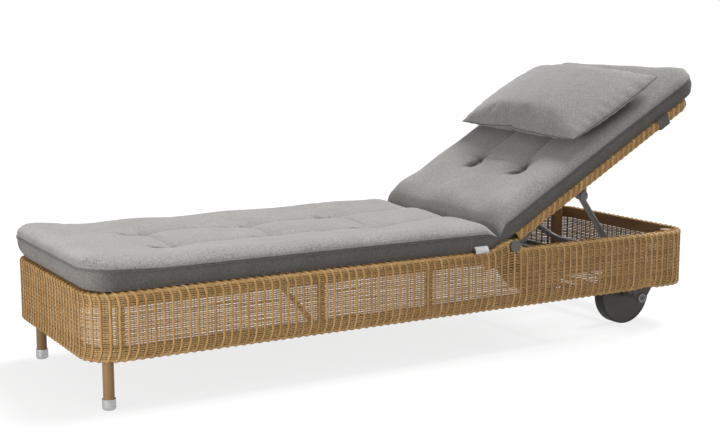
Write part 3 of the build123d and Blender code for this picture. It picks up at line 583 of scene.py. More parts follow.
# Finishes of the CAD nodes whose shape stays, by how their names start
for starts, finish in (
    (("top_rail", "bottom_rail", "side_", "corner_", "seat_slats", "leg_gussets"), brown_paint),
    (("back_rail", "back_slats", "back_cross_tube"), brown_paint),
    (("leg_left", "leg_right"), leg_paint),
    (("hinge_", "racks", "rack_tube", "axle", "bail"), grey_paint),
    (("wheel_brackets", "wheel_disc"), wheel_plastic),
    (("foot_left", "foot_right"), foot_metal),
    (("tyre",), tyre_rubber),
    (("wheel_bush",), bush_plastic),
    (("cushion_straps",), webbing),
):
    for name in nodes:
        if name.startswith(starts):
            nodes[name].data.materials.clear()
            nodes[name].data.materials.append(finish)


# Strand geometry
class Strands:
    """Collects the vertices and faces of many strands for one mesh."""

    def __init__(self):
        self.verts = []
        self.faces = []
        self.count = 0

    def add(self, paths, normals, half_width, half_depth, sides=6, closed=False):
        """Each path of an array (strands, points, 3) becomes a flattened tube."""
        strands, points = paths.shape[:2]
        if closed:
            ahead = np.roll(paths, -1, axis=1) - np.roll(paths, 1, axis=1)
        else:
            ahead = np.gradient(paths, axis=1)
        ahead = unit(ahead)
        across = unit(np.cross(ahead, normals))
        outward = np.cross(across, ahead)
        turns = tau * (np.arange(sides) + 0.5) / sides
        ring = paths[:, :, None, :]
        ring = ring + across[:, :, None, :] * (half_width * np.cos(turns))[:, None]
        ring = ring + outward[:, :, None, :] * (half_depth * np.sin(turns))[:, None]
        index = np.arange(strands * points * sides).reshape(strands, points, sides) + self.count
        near = index if closed else index[:, :-1]
        far = np.roll(index, -1, axis=1) if closed else index[:, 1:]
        quads = np.stack((near, far, np.roll(far, -1, axis=2), np.roll(near, -1, axis=2)), axis=-1)
        self.verts.append(ring.reshape(-1, 3))
        self.faces.extend(quads.reshape(-1, 4).tolist())
        if not closed:
            self.faces.extend(index[:, 0].tolist())
            self.faces.extend(index[:, -1, ::-1].tolist())
        self.count += strands * points * sides

    def add_one(self, path, normal, half_width, half_depth, sides=6, closed=False):
        """One path of an array (points, 3), with a normal for each point or for all."""
        normals = np.broadcast_to(normal, path.shape)
        self.add(path[None], normals[None], half_width, half_depth, sides, closed)

    def piece(self, name, finish, body, slot, replaced=()):
        verts = np.concatenate(self.verts)
        return add_piece(name, verts, self.faces, finish, body, replaced)


def add_piece(name, verts, faces, finish, body, replaced=()):
    """A smooth mesh piece that rides on a body, when one is given."""
    mesh = bpy.data.meshes.new(name)
    mesh.from_pydata(np.asarray(verts).tolist(), [], faces)
    mesh.polygons.foreach_set("use_smooth", np.ones(len(mesh.polygons), dtype=bool))
    mesh.materials.append(finish)
    obj = link(bpy.data.objects.new(name, mesh))
    if body:
        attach(obj, body)
    if replaced:
        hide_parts(*replaced)
    return obj


# Woven skin of the base
skin_nodes = [f"base_weave_{part}" for part in ("left", "right", "ends", "bends")]
corners = np.array([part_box(name) for name in skin_nodes])
skin_low, skin_high = corners[:, 0].min(axis=0), corners[:, 1].max(axis=0)
hinge = np.array(joints["recline"]["pos_m"])
wheel_middle = np.array(joints["wheel_left_spin"]["pos_m"])

bend_low = skin_low + base_radius
bend_high = skin_high - base_radius
bend_centers = (
    (bend_high[0], bend_low[1]),
    (bend_high[0], bend_high[1]),
    (bend_low[0], bend_high[1]),
    (bend_low[0], bend_low[1]),
)
run_x = skin_high[0] - skin_low[0] - 2 * base_radius
run_y = skin_high[1] - skin_low[1] - 2 * base_radius
bend_length = base_radius * half_pi
loop_starts = np.cumsum([0.0] + [run_x, bend_length, run_y, bend_length] * 2)
loop_length = loop_starts[-1]


def outline(places):
    """Points and outward directions along the base's outline, from the left side's foot end."""
    places = np.mod(places, loop_length)
    x, y, out_x, out_y = (np.zeros_like(places) for _ in range(4))
    for side in range(4):
        turn = side * half_pi
        ahead = np.array((math.cos(turn), math.sin(turn)))
        out = np.array((math.sin(turn), -math.cos(turn)))
        center = np.array(bend_centers[side])
        start = center - ahead * (run_x, run_y)[side % 2] + out * base_radius
        begin, bend, end = loop_starts[2 * side : 2 * side + 3]
        on_run = (places >= begin) & (places < bend)
        gone = places[on_run] - begin
        x[on_run], y[on_run] = start[0] + ahead[0] * gone, start[1] + ahead[1] * gone
        out_x[on_run], out_y[on_run] = out
        on_bend = (places >= bend) & (places < end)
        angle = turn - half_pi + (places[on_bend] - bend) / base_radius
        out_x[on_bend], out_y[on_bend] = np.cos(angle), np.sin(angle)
        x[on_bend] = center[0] + base_radius * np.cos(angle)
        y[on_bend] = center[1] + base_radius * np.sin(angle)
    return x, y, out_x, out_y


skin_wall = skin_high[2] - skin_low[2] - 2 * rim_radius
rim_flat = rim_lip - rim_radius
rim_arc = rim_radius * half_pi
t_ends = np.cumsum([rim_flat, rim_arc, skin_wall, rim_arc, rim_flat])
t_length = t_ends[-1]


def profile(t):
    """Inset, height and surface direction along the skin's section, from its upper lip down."""
    upper = (t - t_ends[0]) / rim_radius
    lower = (t - t_ends[2]) / rim_radius
    angle = np.select(
        [t < end for end in t_ends[:4]],
        [0.0, upper, half_pi, half_pi + lower],
        math.pi,
    )
    flat_gone = np.clip(t, 0, t_ends[0])
    wall_gone = np.clip(t - t_ends[1], 0, skin_wall)
    last_gone = np.clip(t - t_ends[3], 0, rim_flat)
    inset = rim_lip - flat_gone - rim_radius * np.sin(angle) + last_gone
    height = skin_high[2] - rim_radius + rim_radius * np.cos(angle) - wall_gone
    return inset, height, np.sin(angle), np.cos(angle)


def rim_lift(x):
    """How far the woven rim rises over the hinge pin."""
    ahead = x - hinge[0]
    top = hinge[2] + hump_radius - skin_high[2]
    rise = smooth((ahead + hump_run) / (hump_run - hump_level[0]))
    fall = 1.0 - smooth((ahead - hump_level[1]) / (hump_fall - hump_level[1]))
    return top * np.minimum(rise, fall)


def edge_lift(x):
    """How far the lower edge is cut up over the wheel brackets."""
    return notch_lift * smooth(1.0 - np.abs(x - wheel_middle[0]) / notch_half_width)


def skin(places, t, depth):
    """Points and surface directions on the base's skin, at a depth under its outer face."""
    places, t, depth = np.broadcast_arrays(places, t, depth)
    x, y, out_x, out_y = outline(places)
    inset, height, out, up = profile(t)
    share = (height - skin_low[2]) / (skin_high[2] - skin_low[2])
    height = height + rim_lift(x) * smooth((share - hump_from) / (1 - hump_from))
    height = height + edge_lift(x) * smooth((notch_to - share) / notch_to)
    behind = np.hypot(x - hinge[0], height - hinge[2]) < cap_radius + weaver_section[0]
    inwards = inset + depth * out + np.where(behind & (out > 0.5), cap_push, 0.0)
    points = np.stack((x - out_x * inwards, y - out_y * inwards, height - depth * up), axis=-1)
    return points, np.stack((out_x * out, out_y * out, up), axis=-1)


run_lengths = np.diff(loop_starts)
stake_places = []
for start, length in zip(loop_starts, run_lengths):
    count = round(length / stake_pitch)
    stake_places.extend(start + (np.arange(count) + 0.5) * length / count)
stake_places = np.array(stake_places)
stakes = len(stake_places)
bays = np.diff(np.append(stake_places, stake_places[0] + loop_length))
stake_t = [np.zeros(1)]
for low, high, count in zip(np.append(0.0, t_ends), t_ends, stake_steps):
    stake_t.append(np.linspace(low, high, count)[1:])
stake_t = np.concatenate(stake_t)
past_top = t_ends[1] + stake_top_run[0] - stake_t
past_bottom = stake_t - t_ends[2] + stake_bottom_run[0]
lean = -stake_top_lean * smooth(past_top / stake_top_run[1])
lean = lean - stake_bottom_lean * smooth(past_bottom / stake_bottom_run[1])
stake_s = stake_places[:, None] + lean + rng.normal(0, stake_jitter, (stakes, len(stake_t)))
base_stakes = Strands()
base_stakes.add(*skin(stake_s, stake_t, stake_depth), *stake_section)
base_stakes.piece("base_stakes", wicker, "base", "wicker", skin_nodes + ["hinge_humps"])

thin_t = np.linspace(t_ends[0], t_ends[3], thin_stake_steps)
thin_s = (stake_places + thin_stake_place * bays)[:, None]
thin_s = thin_s + rng.normal(0, thin_stake_jitter, (stakes, 1))
thin_stakes = Strands()
thin_stakes.add(*skin(thin_s, thin_t, thin_stake_depth), *thin_stake_section, sides=5)
thin_stakes.piece("base_thin_stakes", wicker_dark, "base", "wicker")

weaver_low, weaver_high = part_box("base_weavers")
row_middle = (weaver_low[2] + weaver_high[2] + weaver_pitch) / 2
first_row = math.fmod(t_ends[1] + skin_high[2] - rim_radius - row_middle, weaver_pitch)
weaver_rows = int((t_length - first_row) / weaver_pitch) + 1
weaver_s = (stake_places[:, None] + bays[:, None] * np.arange(4) / 4).ravel()
for third, part, replaced in ((0, "upper", ["base_weavers"]), (1, "middle", []), (2, "lower", [])):
    weavers = Strands()
    for row in range(third * weaver_rows // 3, (third + 1) * weaver_rows // 3):
        row_t = first_row + row * weaver_pitch
        row_t = row_t + weaver_wander * wander(weaver_s, loop_length, weaver_waves)
        depth = np.tile(weaver_depths, stakes) + (-1) ** row * np.tile(weaver_sway, stakes)
        points_and_ways = skin(weaver_s, np.clip(row_t, 0, t_length), depth)
        weavers.add_one(*points_and_ways, *weaver_section, closed=True)
    weavers.piece(f"base_weavers_{part}", wicker_weaver, "base", "wicker", replaced)

hump_t = np.arange(hump_rows) * weaver_pitch
hump_x = hinge[0] + np.linspace(-hump_run, hump_fall, hump_steps)
hump_weavers = Strands()
for hump_s in (hump_x - bend_low[0], loop_starts[4] + bend_high[0] - hump_x):
    hump_weavers.add(*skin(hump_s, hump_t[:, None], hump_depth), *hump_section)
hump_weavers.piece("hump_weavers", wicker_weaver, "base", "wicker")


# Woven wrap of the backrest tubes
slope = np.array((math.cos(rest_angle), 0.0, math.sin(rest_angle)))
square = np.array((-math.sin(rest_angle), 0.0, math.cos(rest_angle)))
side_way = np.array((0.0, 1.0, 0.0))


def on_back(along, across, above):
    """Points from the backrest's own places: up its slope, across and above the hinge line."""
    along, across, above = (part[..., None] for part in np.broadcast_arrays(along, across, above))
    return hinge + along * slope + across * side_way + above * square


def back_box(name):
    """Lowest and highest corner of a node in the backrest's own places."""
    points = np.array([vertex.co for vertex in nodes[name].data.vertices]) - hinge
    local = np.stack((points @ slope, points[:, 1], points @ square), axis=-1)
    return local.min(axis=0), local.max(axis=0)


wrap_low, wrap_high = back_box("back_wrap_left")
top_low, top_high = back_box("back_wrap_top")
wrap_half = (wrap_high[2] - wrap_low[2]) / 2
wrap_middle = (wrap_high[2] + wrap_low[2]) / 2
side_y = (wrap_high[1] + wrap_low[1]) / 2
top_s = (top_high[0] + top_low[0]) / 2
bend_radius = top_s - wrap_high[0]
side_run = wrap_high[0] - wrap_low[0]
top_run = 2 * top_high[1]
bend_run = bend_radius * half_pi
wrap_starts = np.cumsum([0.0, side_run, bend_run, top_run, bend_run, side_run])
wrap_length = wrap_starts[-1]


def wrap_line(places):
    """Places up the slope and across along the backrest's frame, with the way out of it."""
    first = (places - wrap_starts[1]) / bend_radius
    second = (places - wrap_starts[3]) / bend_radius
    ahead = np.clip(first, 0, half_pi) + np.clip(second, 0, half_pi)
    up_run = np.clip(places, 0, side_run)
    top_gone = np.clip(places - wrap_starts[2], 0, top_run)
    down_run = np.clip(places - wrap_starts[4], 0, side_run)
    along = wrap_low[0] + up_run + bend_radius * np.sin(ahead) - down_run
    across = side_y + bend_radius * (1 - np.cos(ahead)) + top_gone
    return along, across, np.sin(ahead), -np.cos(ahead)


wrap_flat = 2 * (wrap_half - wrap_round)
wrap_quarter = wrap_flat + wrap_round * half_pi
wrap_girth = 4 * wrap_quarter


def wrap_section(q):
    """Outward and upward place on the wrap's rounded square section, with its surface direction."""
    quarter = np.floor(np.mod(q, wrap_girth) / wrap_quarter)
    gone = np.mod(q, wrap_quarter)
    angle = np.clip((gone - wrap_flat) / wrap_round, 0, half_pi)
    flat = np.clip(gone, 0, wrap_flat) - wrap_flat / 2
    first = wrap_half - wrap_round + wrap_round * np.cos(angle)
    second = flat + wrap_round * np.sin(angle)
    turn = quarter * half_pi
    out = first * np.cos(turn) - second * np.sin(turn)
    up = first * np.sin(turn) + second * np.cos(turn)
    return out, up, np.cos(angle + turn), np.sin(angle + turn)


def wrap(places, q, depth):
    """Points and surface directions on the wrap of the backrest's tubes."""
    places, q, depth = np.broadcast_arrays(places, q, depth)
    along, across, out_s, out_y = wrap_line(np.clip(places, 0, wrap_length))
    out, up, way_out, way_up = wrap_section(q)
    out, up = out - depth * way_out, up - depth * way_up
    points = on_back(along + out * out_s, across + out * out_y, wrap_middle + up)
    ways = (way_out * out_s)[..., None] * slope + (way_out * out_y)[..., None] * side_way
    return points, ways + way_up[..., None] * square


back_stakes = round(wrap_length / stake_pitch)
back_pitch = wrap_length / back_stakes
back_places = (np.arange(back_stakes) + 0.5) * back_pitch
ring_q = np.arange(wrap_steps) * wrap_girth / wrap_steps
ring_up = wrap_section(ring_q)[1] / wrap_half
ring_toward_head = np.where(back_places < wrap_length / 2, 1.0, -1.0)
ring_s = back_places[:, None] + wrap_lean * ring_up * ring_toward_head[:, None]
ring_s = np.clip(ring_s, wrap_gap, wrap_length - wrap_gap)
back_rings = Strands()
back_rings.add(*wrap(ring_s, ring_q, back_stake_depth), *back_stake_section, closed=True)
wrap_nodes = [f"back_wrap_{part}" for part in ("left", "right", "top", "bends")]
back_rings.piece("back_stakes", wicker, "backrest", "wicker", wrap_nodes)

back_weavers = Strands()
along_s = np.linspace(0, wrap_length, 4 * back_stakes + 1)
row_depth = back_weaver_depth - back_weaver_sway * np.cos(tau * along_s / back_pitch)
for row in range(wrap_weavers):
    row_q = (row + 0.5) * wrap_girth / wrap_weavers
    back_weavers.add_one(*wrap(along_s, row_q, row_depth), *back_weaver_section, sides=5)
back_weavers.piece("back_weavers", wicker_weaver, "backrest", "wicker")


# Woven decks under the cushion
def woven_deck(name, corner, ahead, normal, length, half_width, radius, body, replaced):
    """Flat straps woven over and under, in a rectangle with two rounded corners at its start."""
    across = np.cross(normal, ahead)
    deck = Strands()
    columns = int(2 * half_width / deck_pitch)
    rows = int(length / deck_pitch)
    row_pitch = length / rows
    column_y = (np.arange(columns) - (columns - 1) / 2) * deck_pitch
    row_x = (np.arange(rows) + 0.5) * row_pitch
    column_start = rounded_in(half_width - np.abs(column_y), radius)
    row_end = half_width - rounded_in(row_x, radius)
    for strand_places, start, end, is_row in (
        (column_y, column_start, np.full(columns, length), False),
        (row_x, -row_end, row_end, True),
    ):
        steps = 2 * (columns if is_row else rows) + 1
        gone = start[:, None] + np.linspace(0, 1, steps) * (end - start)[:, None]
        fixed = np.repeat(strand_places[:, None], steps, axis=1)
        x, y = (fixed, gone) if is_row else (gone, fixed)
        order = np.arange(len(strand_places)) % 2 * math.pi
        wave = np.cos(math.pi * gone / (deck_pitch if is_row else row_pitch) + order[:, None])
        lift = deck_sway * wave * (1 if is_row else -1)
        points = corner + x[..., None] * ahead + y[..., None] * across + lift[..., None] * normal
        normals = np.broadcast_to(normal, points.shape)
        deck.add(points, normals, *deck_strap_section, sides=4)
    return deck.piece(name, wicker, body, "wicker", replaced)


up_way = np.array((0.0, 0.0, 1.0))
head_way = np.array((1.0, 0.0, 0.0))
deck_low, deck_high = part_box("seat_deck")
woven_deck(
    "seat_deck_weave",
    np.array((deck_low[0], 0.0, (deck_low[2] + deck_high[2]) / 2)), head_way, up_way,
    deck_high[0] - deck_low[0], deck_high[1], seat_deck_corner, "base", ["seat_deck"],
)
panel_low, panel_high = back_box("back_panel")
woven_deck(
    "back_panel_weave",
    on_back(panel_high[0], 0.0, (panel_low[2] + panel_high[2]) / 2), -slope, square,
    panel_high[0] - panel_low[0], panel_high[1], back_panel_corner, "backrest", ["back_panel"],
)


# Cushion: two tufted pads in one cover, sewn flat along the fold
seat_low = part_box("seat_cushion")[0]
back_low, back_high = back_box("back_cushion")
fold_x = hinge[0] - fold_place
fold_z = hinge[2] + fold_height
fold_s = -fold_place * math.cos(rest_angle) + fold_height * math.sin(rest_angle)
fold_above = fold_place * math.sin(rest_angle) + fold_height * math.cos(rest_angle)
seat_start = seat_low[0] + foot_inset
seat_length = fold_x - seat_start
back_length = back_high[0] + head_reach - fold_s


def half_width_at(gap, to_fold, length):
    """Half the cushion's width at a distance from its end and from the fold."""
    width = cushion_half_width - rounded_in(gap, cushion_corner_radius)
    width = width - cushion_draw_in * 4 * gap * to_fold / length**2
    return width - fold_draw_in * (1 - smooth(to_fold / fold_draw_run))


def spaced(count, low, high, spots):
    """Places from low to high, closer together where the ends roll over and round some spots."""
    steps = edge_roll * (1 - np.cos(np.radians(edge_step_degrees * np.arange(edge_steps))))
    even = np.linspace(low + steps[-1], high - steps[-1], dense_samples)
    filled = np.cumsum(1 + sum(dense_extra * bell(even - spot, dense_reach) for spot in spots))
    wanted = np.linspace(filled[0], filled[-1], count - 2 * edge_steps + 2)
    middle = np.interp(wanted, filled, even)
    return np.concatenate((low + steps[:-1], middle, high - steps[-2::-1]))


def valley(off):
    """A sharp valley, 1 deep on its line and shallower to both sides."""
    return np.exp(-((np.abs(off) / valley_width) ** valley_sharpness))


def tuft(along, off):
    """How far a tuft draws the fabric down, the relief of the folds round it and their shade."""
    far = np.hypot(along, off)
    turn = np.arctan2(off, along)
    drawn = tuft_draw * np.exp(-((far / tuft_reach) ** valley_sharpness))
    folds = sum(
        share * np.cos(spokes * turn + rng.uniform(0, 6)) for spokes, share in tuft_spokes
    )
    relief = tuft_crease * folds * np.exp(-far / tuft_reach) * smooth(far / tuft_bare)
    ahead, aside = turned(-along, off, rng.uniform(*tuft_lean))
    run = bell(ahead - tuft_fold_place, tuft_fold_reach)
    relief -= tuft_fold_depth * run * bell(aside, np.where(aside < 0, *tuft_fold_width))
    shade = run * bell(aside, np.where(aside < 0, *tuft_shade_width))
    return drawn, relief, np.maximum(shade, bell(far, tuft_shade_radius))


def fabric_relief(u, v, edge):
    """Billows, wrinkles and puckers along the edge of a pad's fabric."""
    relief = np.zeros_like(u)
    for _ in range(billows):
        ahead = turned(u, v, rng.uniform(0, math.pi))[0]
        gone = tau * ahead / rng.uniform(*billow_length)
        relief += billow_height * np.cos(gone + rng.uniform(0, 6))
    for _ in range(int(np.ptp(u) * creases_per_metre)):
        middle = rng.uniform(u.min(), u.max()), rng.uniform(v.min(), v.max())
        turn = rng.choice((-1, 1)) * rng.uniform(*crease_turn)
        ahead, aside = turned(u - middle[0], v - middle[1], turn)
        wrinkle = bell(ahead, rng.uniform(*crease_half_length))
        wrinkle = wrinkle * bell(aside, rng.uniform(*crease_width))
        relief -= rng.uniform(*crease_depth) * wrinkle
    for places, (length, sway) in ((u, along_pucker), (v, across_pucker)):
        pucker = np.cos(tau * places / length + 2 * np.sin(sway * places))
        relief += pucker_height * pucker * np.exp(-edge / pucker_reach)
    return relief


def pad_height(u, v, edge, tuft_u, crown, valley_depth, valley_end):
    """Height of a stuffed top and shade of its creases.

    It is rolled over at its edges and drawn down at the tufts and in valleys between them.
    """
    rolled = np.sqrt(1 - np.clip(1 - edge / edge_roll, 0, 1) ** 2)
    full = np.ones_like(u)
    relief = np.zeros_like(u)
    crease = np.zeros_like(u)
    inside = smooth((tuft_column - np.abs(v)) / across_fade + across_past)
    for place in tuft_u:
        full *= 1 - across_valley * inside * valley(u - place)
    follows = smooth((u - tuft_u[0]) / valley_fade + 1.0)
    follows = follows * smooth((tuft_u[-1] - u) / valley_end + 1.0)
    bow = column_bow * np.cos(tau * (u - tuft_u[0]) / np.ptp(tuft_u))
    for side in (-1, 1):
        off = v - side * (tuft_column + bow)
        full *= 1 - valley_depth * follows * valley(off)
        for place in tuft_u:
            drawn, folds, shade = tuft(u - place, off)
            full *= 1 - drawn
            relief += folds
            crease = np.maximum(crease, shade)
    relief += fabric_relief(u, v, edge)
    return rolled * (crown * full + relief), crease


def pad_top(length, fold_first, rows, tuft_rows, crown, valley_depth, valley_end, wedge):
    """Grid of one pad's top: places along and across, height, distance from the edge and shade."""
    tuft_u = length * (np.arange(tuft_rows) + 1) / (tuft_rows + 1)
    along = spaced(rows, 0.0, length, tuft_u)
    gap = length - along if fold_first else along
    width = half_width_at(gap, length - gap, length)[:, None]
    across = spaced(
        cushion_columns, -cushion_half_width, cushion_half_width, (-tuft_column, tuft_column)
    )
    u = np.repeat(along[:, None], cushion_columns, axis=1)
    v = width * (across / cushion_half_width)
    edge = np.minimum(width - np.abs(v), gap[:, None])
    height, crease = pad_height(u, v, edge, tuft_u, crown, valley_depth, valley_end)
    thinned = 1 - np.clip(1 - (length - gap) / wedge, 0, 1) ** 2
    return u, v, height * thinned[:, None], edge, crease


def seat_points(u, v, height, edge):
    """Points of the seat pad's top and of its underside."""
    to_fold = smooth(1 - (seat_length - u) / seat_taper)
    to_foot = 1 - smooth(u / foot_lift_run)
    seam = seat_low[2] + cushion_raise + seat_boxing + foot_lift * to_foot
    seam = seam + (fold_z - seam) * to_fold
    lift = seat_under_lift + foot_under_lift * to_foot
    base = seat_low[2] + lift * (1 - smooth(edge / seat_under_run))
    base = base + (fold_z - fold_thickness - base) * smooth(1 - (seat_length - u) / under_taper)
    base_u = u + foot_tuck * (1 - smooth(u / tuck_run))
    base_v = v * (1 - seat_side_tuck * (1 - to_fold) / cushion_half_width)
    top = np.stack((seat_start + u, v, seam + height), axis=-1)
    return top, np.stack((seat_start + base_u, base_v, base), axis=-1)


def back_points(u, v, height, edge):
    """Points of the back pad's top and of its underside."""
    to_fold = smooth(1 - u / back_taper)
    seam = back_low[2] + back_boxing
    seam = seam + (fold_above - seam) * to_fold
    base = back_low[2] + back_under_lift * (1 - smooth(edge / back_under_run))
    base = base + (fold_above - fold_thickness - base) * smooth(1 - u / under_taper)
    base_u = u - head_tuck * (1 - smooth((back_length - u) / tuck_run))
    base_v = v * (1 - back_side_tuck * (1 - to_fold) / cushion_half_width)
    return on_back(fold_s + u, v, seam + height), on_back(fold_s + base_u, base_v, base)


def grid_faces(rows, across, start=0):
    """Quads of a grid of points."""
    index = np.arange(rows * across).reshape(rows, across) + start
    quads = np.stack((index[:-1, :-1], index[1:, :-1], index[1:, 1:], index[:-1, 1:]), axis=-1)
    return quads.reshape(-1, 4).tolist()


def border(rows, across):
    """Indices round the edge of a grid of points, in order."""
    index = np.arange(rows * across).reshape(rows, across)
    return np.concatenate((index[:-1, 0], index[-1, :-1], index[:0:-1, -1], index[0, :0:-1]))


*seat_top, seat_crease_shade = pad_top(seat_length, fold_first=False, **seat_pad)
*back_top, back_crease_shade = pad_top(back_length, fold_first=True, **back_pad)
both_pads = zip(seat_points(*seat_top), back_points(*back_top))
top_grid, under_grid = (np.concatenate((seat[:-1], back)) for seat, back in both_pads)
creases = np.concatenate((seat_crease_shade[:-1], back_crease_shade))
rows, columns = top_grid.shape[:2]
grid_count = rows * columns
loop = border(rows, columns)
loop_count = len(loop)
top_loop = top_grid.reshape(-1, 3)[loop]
under_loop = under_grid.reshape(-1, 3)[loop]
drop = under_loop - top_loop
ahead = unit(np.roll(top_loop, -1, axis=0) - np.roll(top_loop, 1, axis=0))
outward = unit(np.cross(unit(drop), ahead))
tall = np.linalg.norm(drop, axis=1) / seat_boxing
band_places = np.cumsum(np.linalg.norm(np.roll(top_loop, -1, axis=0) - top_loop, axis=1))
band_waves = band_wave_height * wander(band_places, band_places[-1], band_wave_count)
band = []
for share, bulge in band_rows:
    swell = (bulge * mm + band_waves * 4 * share * (1 - share)) * tall
    band.append(top_loop + drop * share + outward * swell[:, None])

verts = [top_grid.reshape(-1, 3), under_grid.reshape(-1, 3)] + band[1:-1]
faces = grid_faces(rows, columns)
top_faces = len(faces)
faces += [quad[::-1] for quad in grid_faces(rows, columns, grid_count)]
rings = [loop]
for index in range(len(band) - 2):
    rings.append(2 * grid_count + index * loop_count + np.arange(loop_count))
rings.append(loop + grid_count)
for upper, lower in zip(rings[:-1], rings[1:]):
    quads = np.stack((lower, np.roll(lower, -1), np.roll(upper, -1), upper), axis=-1)
    faces += quads.tolist()
cushion = add_piece(
    "cushion", np.concatenate(verts), faces, fabric, None,
    ["seat_cushion", "back_cushion"],
)
cushion.data.materials.append(shaded_band_fabric)
finish_index = np.ones(len(faces), dtype=np.int32)
finish_index[:top_faces] = 0
cushion.data.polygons.foreach_set("material_index", finish_index)
# Painted shade for the top fabric: how much darker it is in the tufts' pits and folds
crease_shade_values = np.zeros(len(cushion.data.vertices))
crease_shade_values[: creases.size] = creases.ravel()
crease_shade_data = cushion.data.attributes.new("crease", "FLOAT", "POINT").data
crease_shade_data.foreach_set("value", crease_shade_values)

seams = Strands()
for line, radius in (
    (top_loop + outward * top_seam[0], top_seam[1]),
    (band[1], second_seam_radius),
    (under_loop + outward * under_seam[0], under_seam[1]),
):
    seams.add_one(line, outward, radius, radius, closed=True)
joint = np.argmin(np.abs(top_loop[:, 0] - joint_place) + (top_loop[:, 1] > 0))
seams.add_one(np.stack([row[joint] for row in band]), outward[joint], *joint_section)
cushion_seams = seams.piece("cushion_seams", thread, None, "cushion_fabric")

# Blank tag over the near seam
tag_points = np.column_stack((np.full(len(tag_path), tag_place), tag_path))
tag = Strands()
tag.add_one(tag_points, -side_way, *tag_section, sides=4)
tag.piece("cushion_tag", tag_cloth, "base", "cushion_fabric")

# Rings and centre marks on the axle caps
caps_low, caps_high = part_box("axle_caps")
cap_size = (caps_high[2] - caps_low[2]) / 2
turns = tau * np.arange(cap_steps) / cap_steps
circle = np.stack((np.cos(turns), np.zeros(cap_steps), np.sin(turns)), axis=-1) * cap_size
for label, (share, half_width), finish in (
    ("rings", cap_ring, bush_plastic),
    ("marks", cap_mark, tyre_rubber),
):
    marks = Strands()
    for cap_y, way in ((caps_low[1], -side_way), (caps_high[1], side_way)):
        placed = circle * share + (wheel_middle[0], cap_y, wheel_middle[2])
        marks.add_one(placed, way, half_width, cap_mark_half_depth, closed=True)
    marks.piece(f"axle_cap_{label}", finish, "base", "grey_metal")


# Pillow: two faces sewn round the edge, blown up and laid on the upper back
def temporary(points, faces):
    """An object for modifiers to work on."""
    mesh = bpy.data.meshes.new("temporary")
    mesh.from_pydata(points.tolist(), [], faces)
    return link(bpy.data.objects.new("temporary", mesh))


def outcome(obj):
    """Points and faces of a temporary object after its modifiers; the object goes."""
    posed = obj.evaluated_get(bpy.context.evaluated_depsgraph_get()).to_mesh()
    points = np.zeros(len(posed.vertices) * 3)
    posed.vertices.foreach_get("co", points)
    faces = [list(face.vertices) for face in posed.polygons]
    bpy.data.objects.remove(obj)
    return points.reshape(-1, 3), faces


def blown_up(points, faces):
    """Points of a closed cloth cover after a short simulation with pressure inside."""
    cloth = temporary(points, faces)
    modifier = cloth.modifiers.new("cloth", "CLOTH")
    for name, value in cloth_settings.items():
        setattr(modifier.settings, name, value)
    modifier.settings.effector_weights.gravity = 0.0
    modifier.collision_settings.use_collision = False
    modifier.collision_settings.use_self_collision = False
    modifier.point_cache.frame_start = 1
    modifier.point_cache.frame_end = pillow_frames
    for step in range(1, pillow_frames + 1):
        scene.frame_set(step)
    moved = outcome(cloth)[0]
    scene.frame_set(1)
    return moved


def split_smoothly(points, faces):
    """Each face split into four on a rounded surface; the first points are the old ones."""
    whole = temporary(points, faces)
    whole.modifiers.new("split", "SUBSURF").levels = 1
    return outcome(whole)


pillow_rows, pillow_columns = (int(cut / pillow_step) for cut in pillow_cut)
edge_a, edge_b = np.meshgrid(
    np.linspace(-1, 1, pillow_rows), np.linspace(-1, 1, pillow_columns), indexing="ij"
)
pillow_a = edge_a * pillow_cut[0] / 2 * (1 + pillow_bow[0] * (1 - edge_b**2))
pillow_b = edge_b * pillow_cut[1] / 2 * (1 + pillow_bow[1] * (1 - edge_a**2))
pillow_lift = pillow_flat_lift * ((1 - edge_a**2) * (1 - edge_b**2)) ** 0.5
flat_count = pillow_rows * pillow_columns
pillow_loop = border(pillow_rows, pillow_columns)
inner = np.ones(flat_count, dtype=bool)
inner[pillow_loop] = False
lower_index = np.arange(flat_count)
lower_index[inner] = flat_count + np.arange(inner.sum())
upper_face = np.stack((pillow_a, pillow_b, pillow_lift), axis=-1).reshape(-1, 3)
pillow_points = np.concatenate((upper_face, upper_face[inner] * (1.0, 1.0, -1.0)))
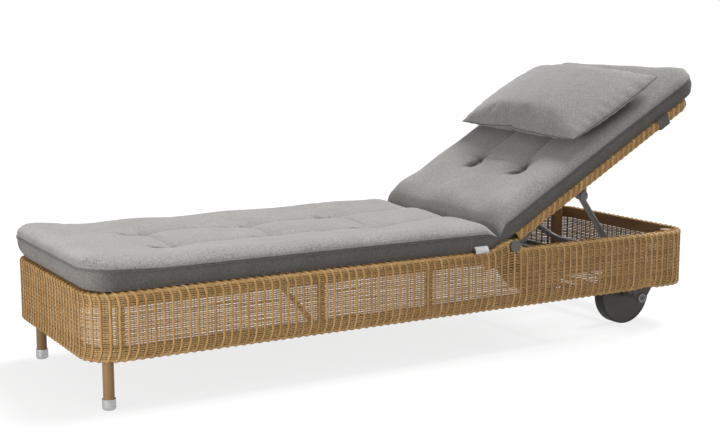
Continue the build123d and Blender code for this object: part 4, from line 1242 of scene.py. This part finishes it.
pillow_faces = grid_faces(pillow_rows, pillow_columns)
pillow_faces += lower_index[np.array(pillow_faces)[:, ::-1]].tolist()
stuffed = pillow_points.copy()
stuffed[:, 2] *= pillow_half_height / pillow_flat_lift
pillow_points = blown_up(pillow_points, pillow_faces)
pillow_points[:, 2] *= pillow_half_height / np.abs(pillow_points[:, 2]).max()
stuffed += pillow_blown * (pillow_points - stuffed)
stuffed[:, 2] *= np.where(stuffed[:, 2] > 0, 1 + pillow_sink / pillow_half_height, 1.0)
gathers = np.zeros_like(edge_a)
for gap, along in (
    (pillow_cut[0] / 2 * (1 - np.abs(edge_a)), pillow_b),
    (pillow_cut[1] / 2 * (1 - np.abs(edge_b)), pillow_a),
):
    sway = pillow_gather_sway[0] * np.sin(pillow_gather_sway[1] * along + 1)
    waves = np.cos(tau * along / pillow_gather_length + sway)
    waves = waves + pillow_pleats * np.cos(along / pillow_pleat_length)
    fade = np.exp(-gap / pillow_gather_reach) * smooth(gap / pillow_gather_bare)
    gathers += pillow_gather * waves * fade
stuffed[:, 2] += np.concatenate((gathers.ravel(), -gathers.ravel()[inner]))
pillow_points, pillow_faces = split_smoothly(stuffed, pillow_faces)
pillow_low, pillow_high = back_box("pillow")
pillow_floor = back_low[2] + back_boxing + back_pad["crown"]
pillow_above = (pillow_low[2] + pillow_high[2]) / 2 - pillow_sink
pillow_height = np.maximum(pillow_points[:, 2], pillow_floor - pillow_above)
pillow_along = pillow_points[:, 0] + pillow_turn * pillow_points[:, 1]
pillow_across = pillow_points[:, 1] - pillow_turn * pillow_points[:, 0]
pillow_verts = on_back(pillow_place + pillow_along, pillow_across, pillow_above + pillow_height)
pillow = add_piece(
    "pillow_stuffed", pillow_verts, pillow_faces, fabric, "backrest", ["pillow"]
)
piping = Strands()
piping.add_one(pillow_verts[pillow_loop], square, *pillow_seam_section, closed=True)
piping.piece("pillow_seam", thread, "backrest", "cushion_fabric")

# Soft pieces, once the simulation is over
for piece in (cushion, cushion_seams):
    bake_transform(piece)
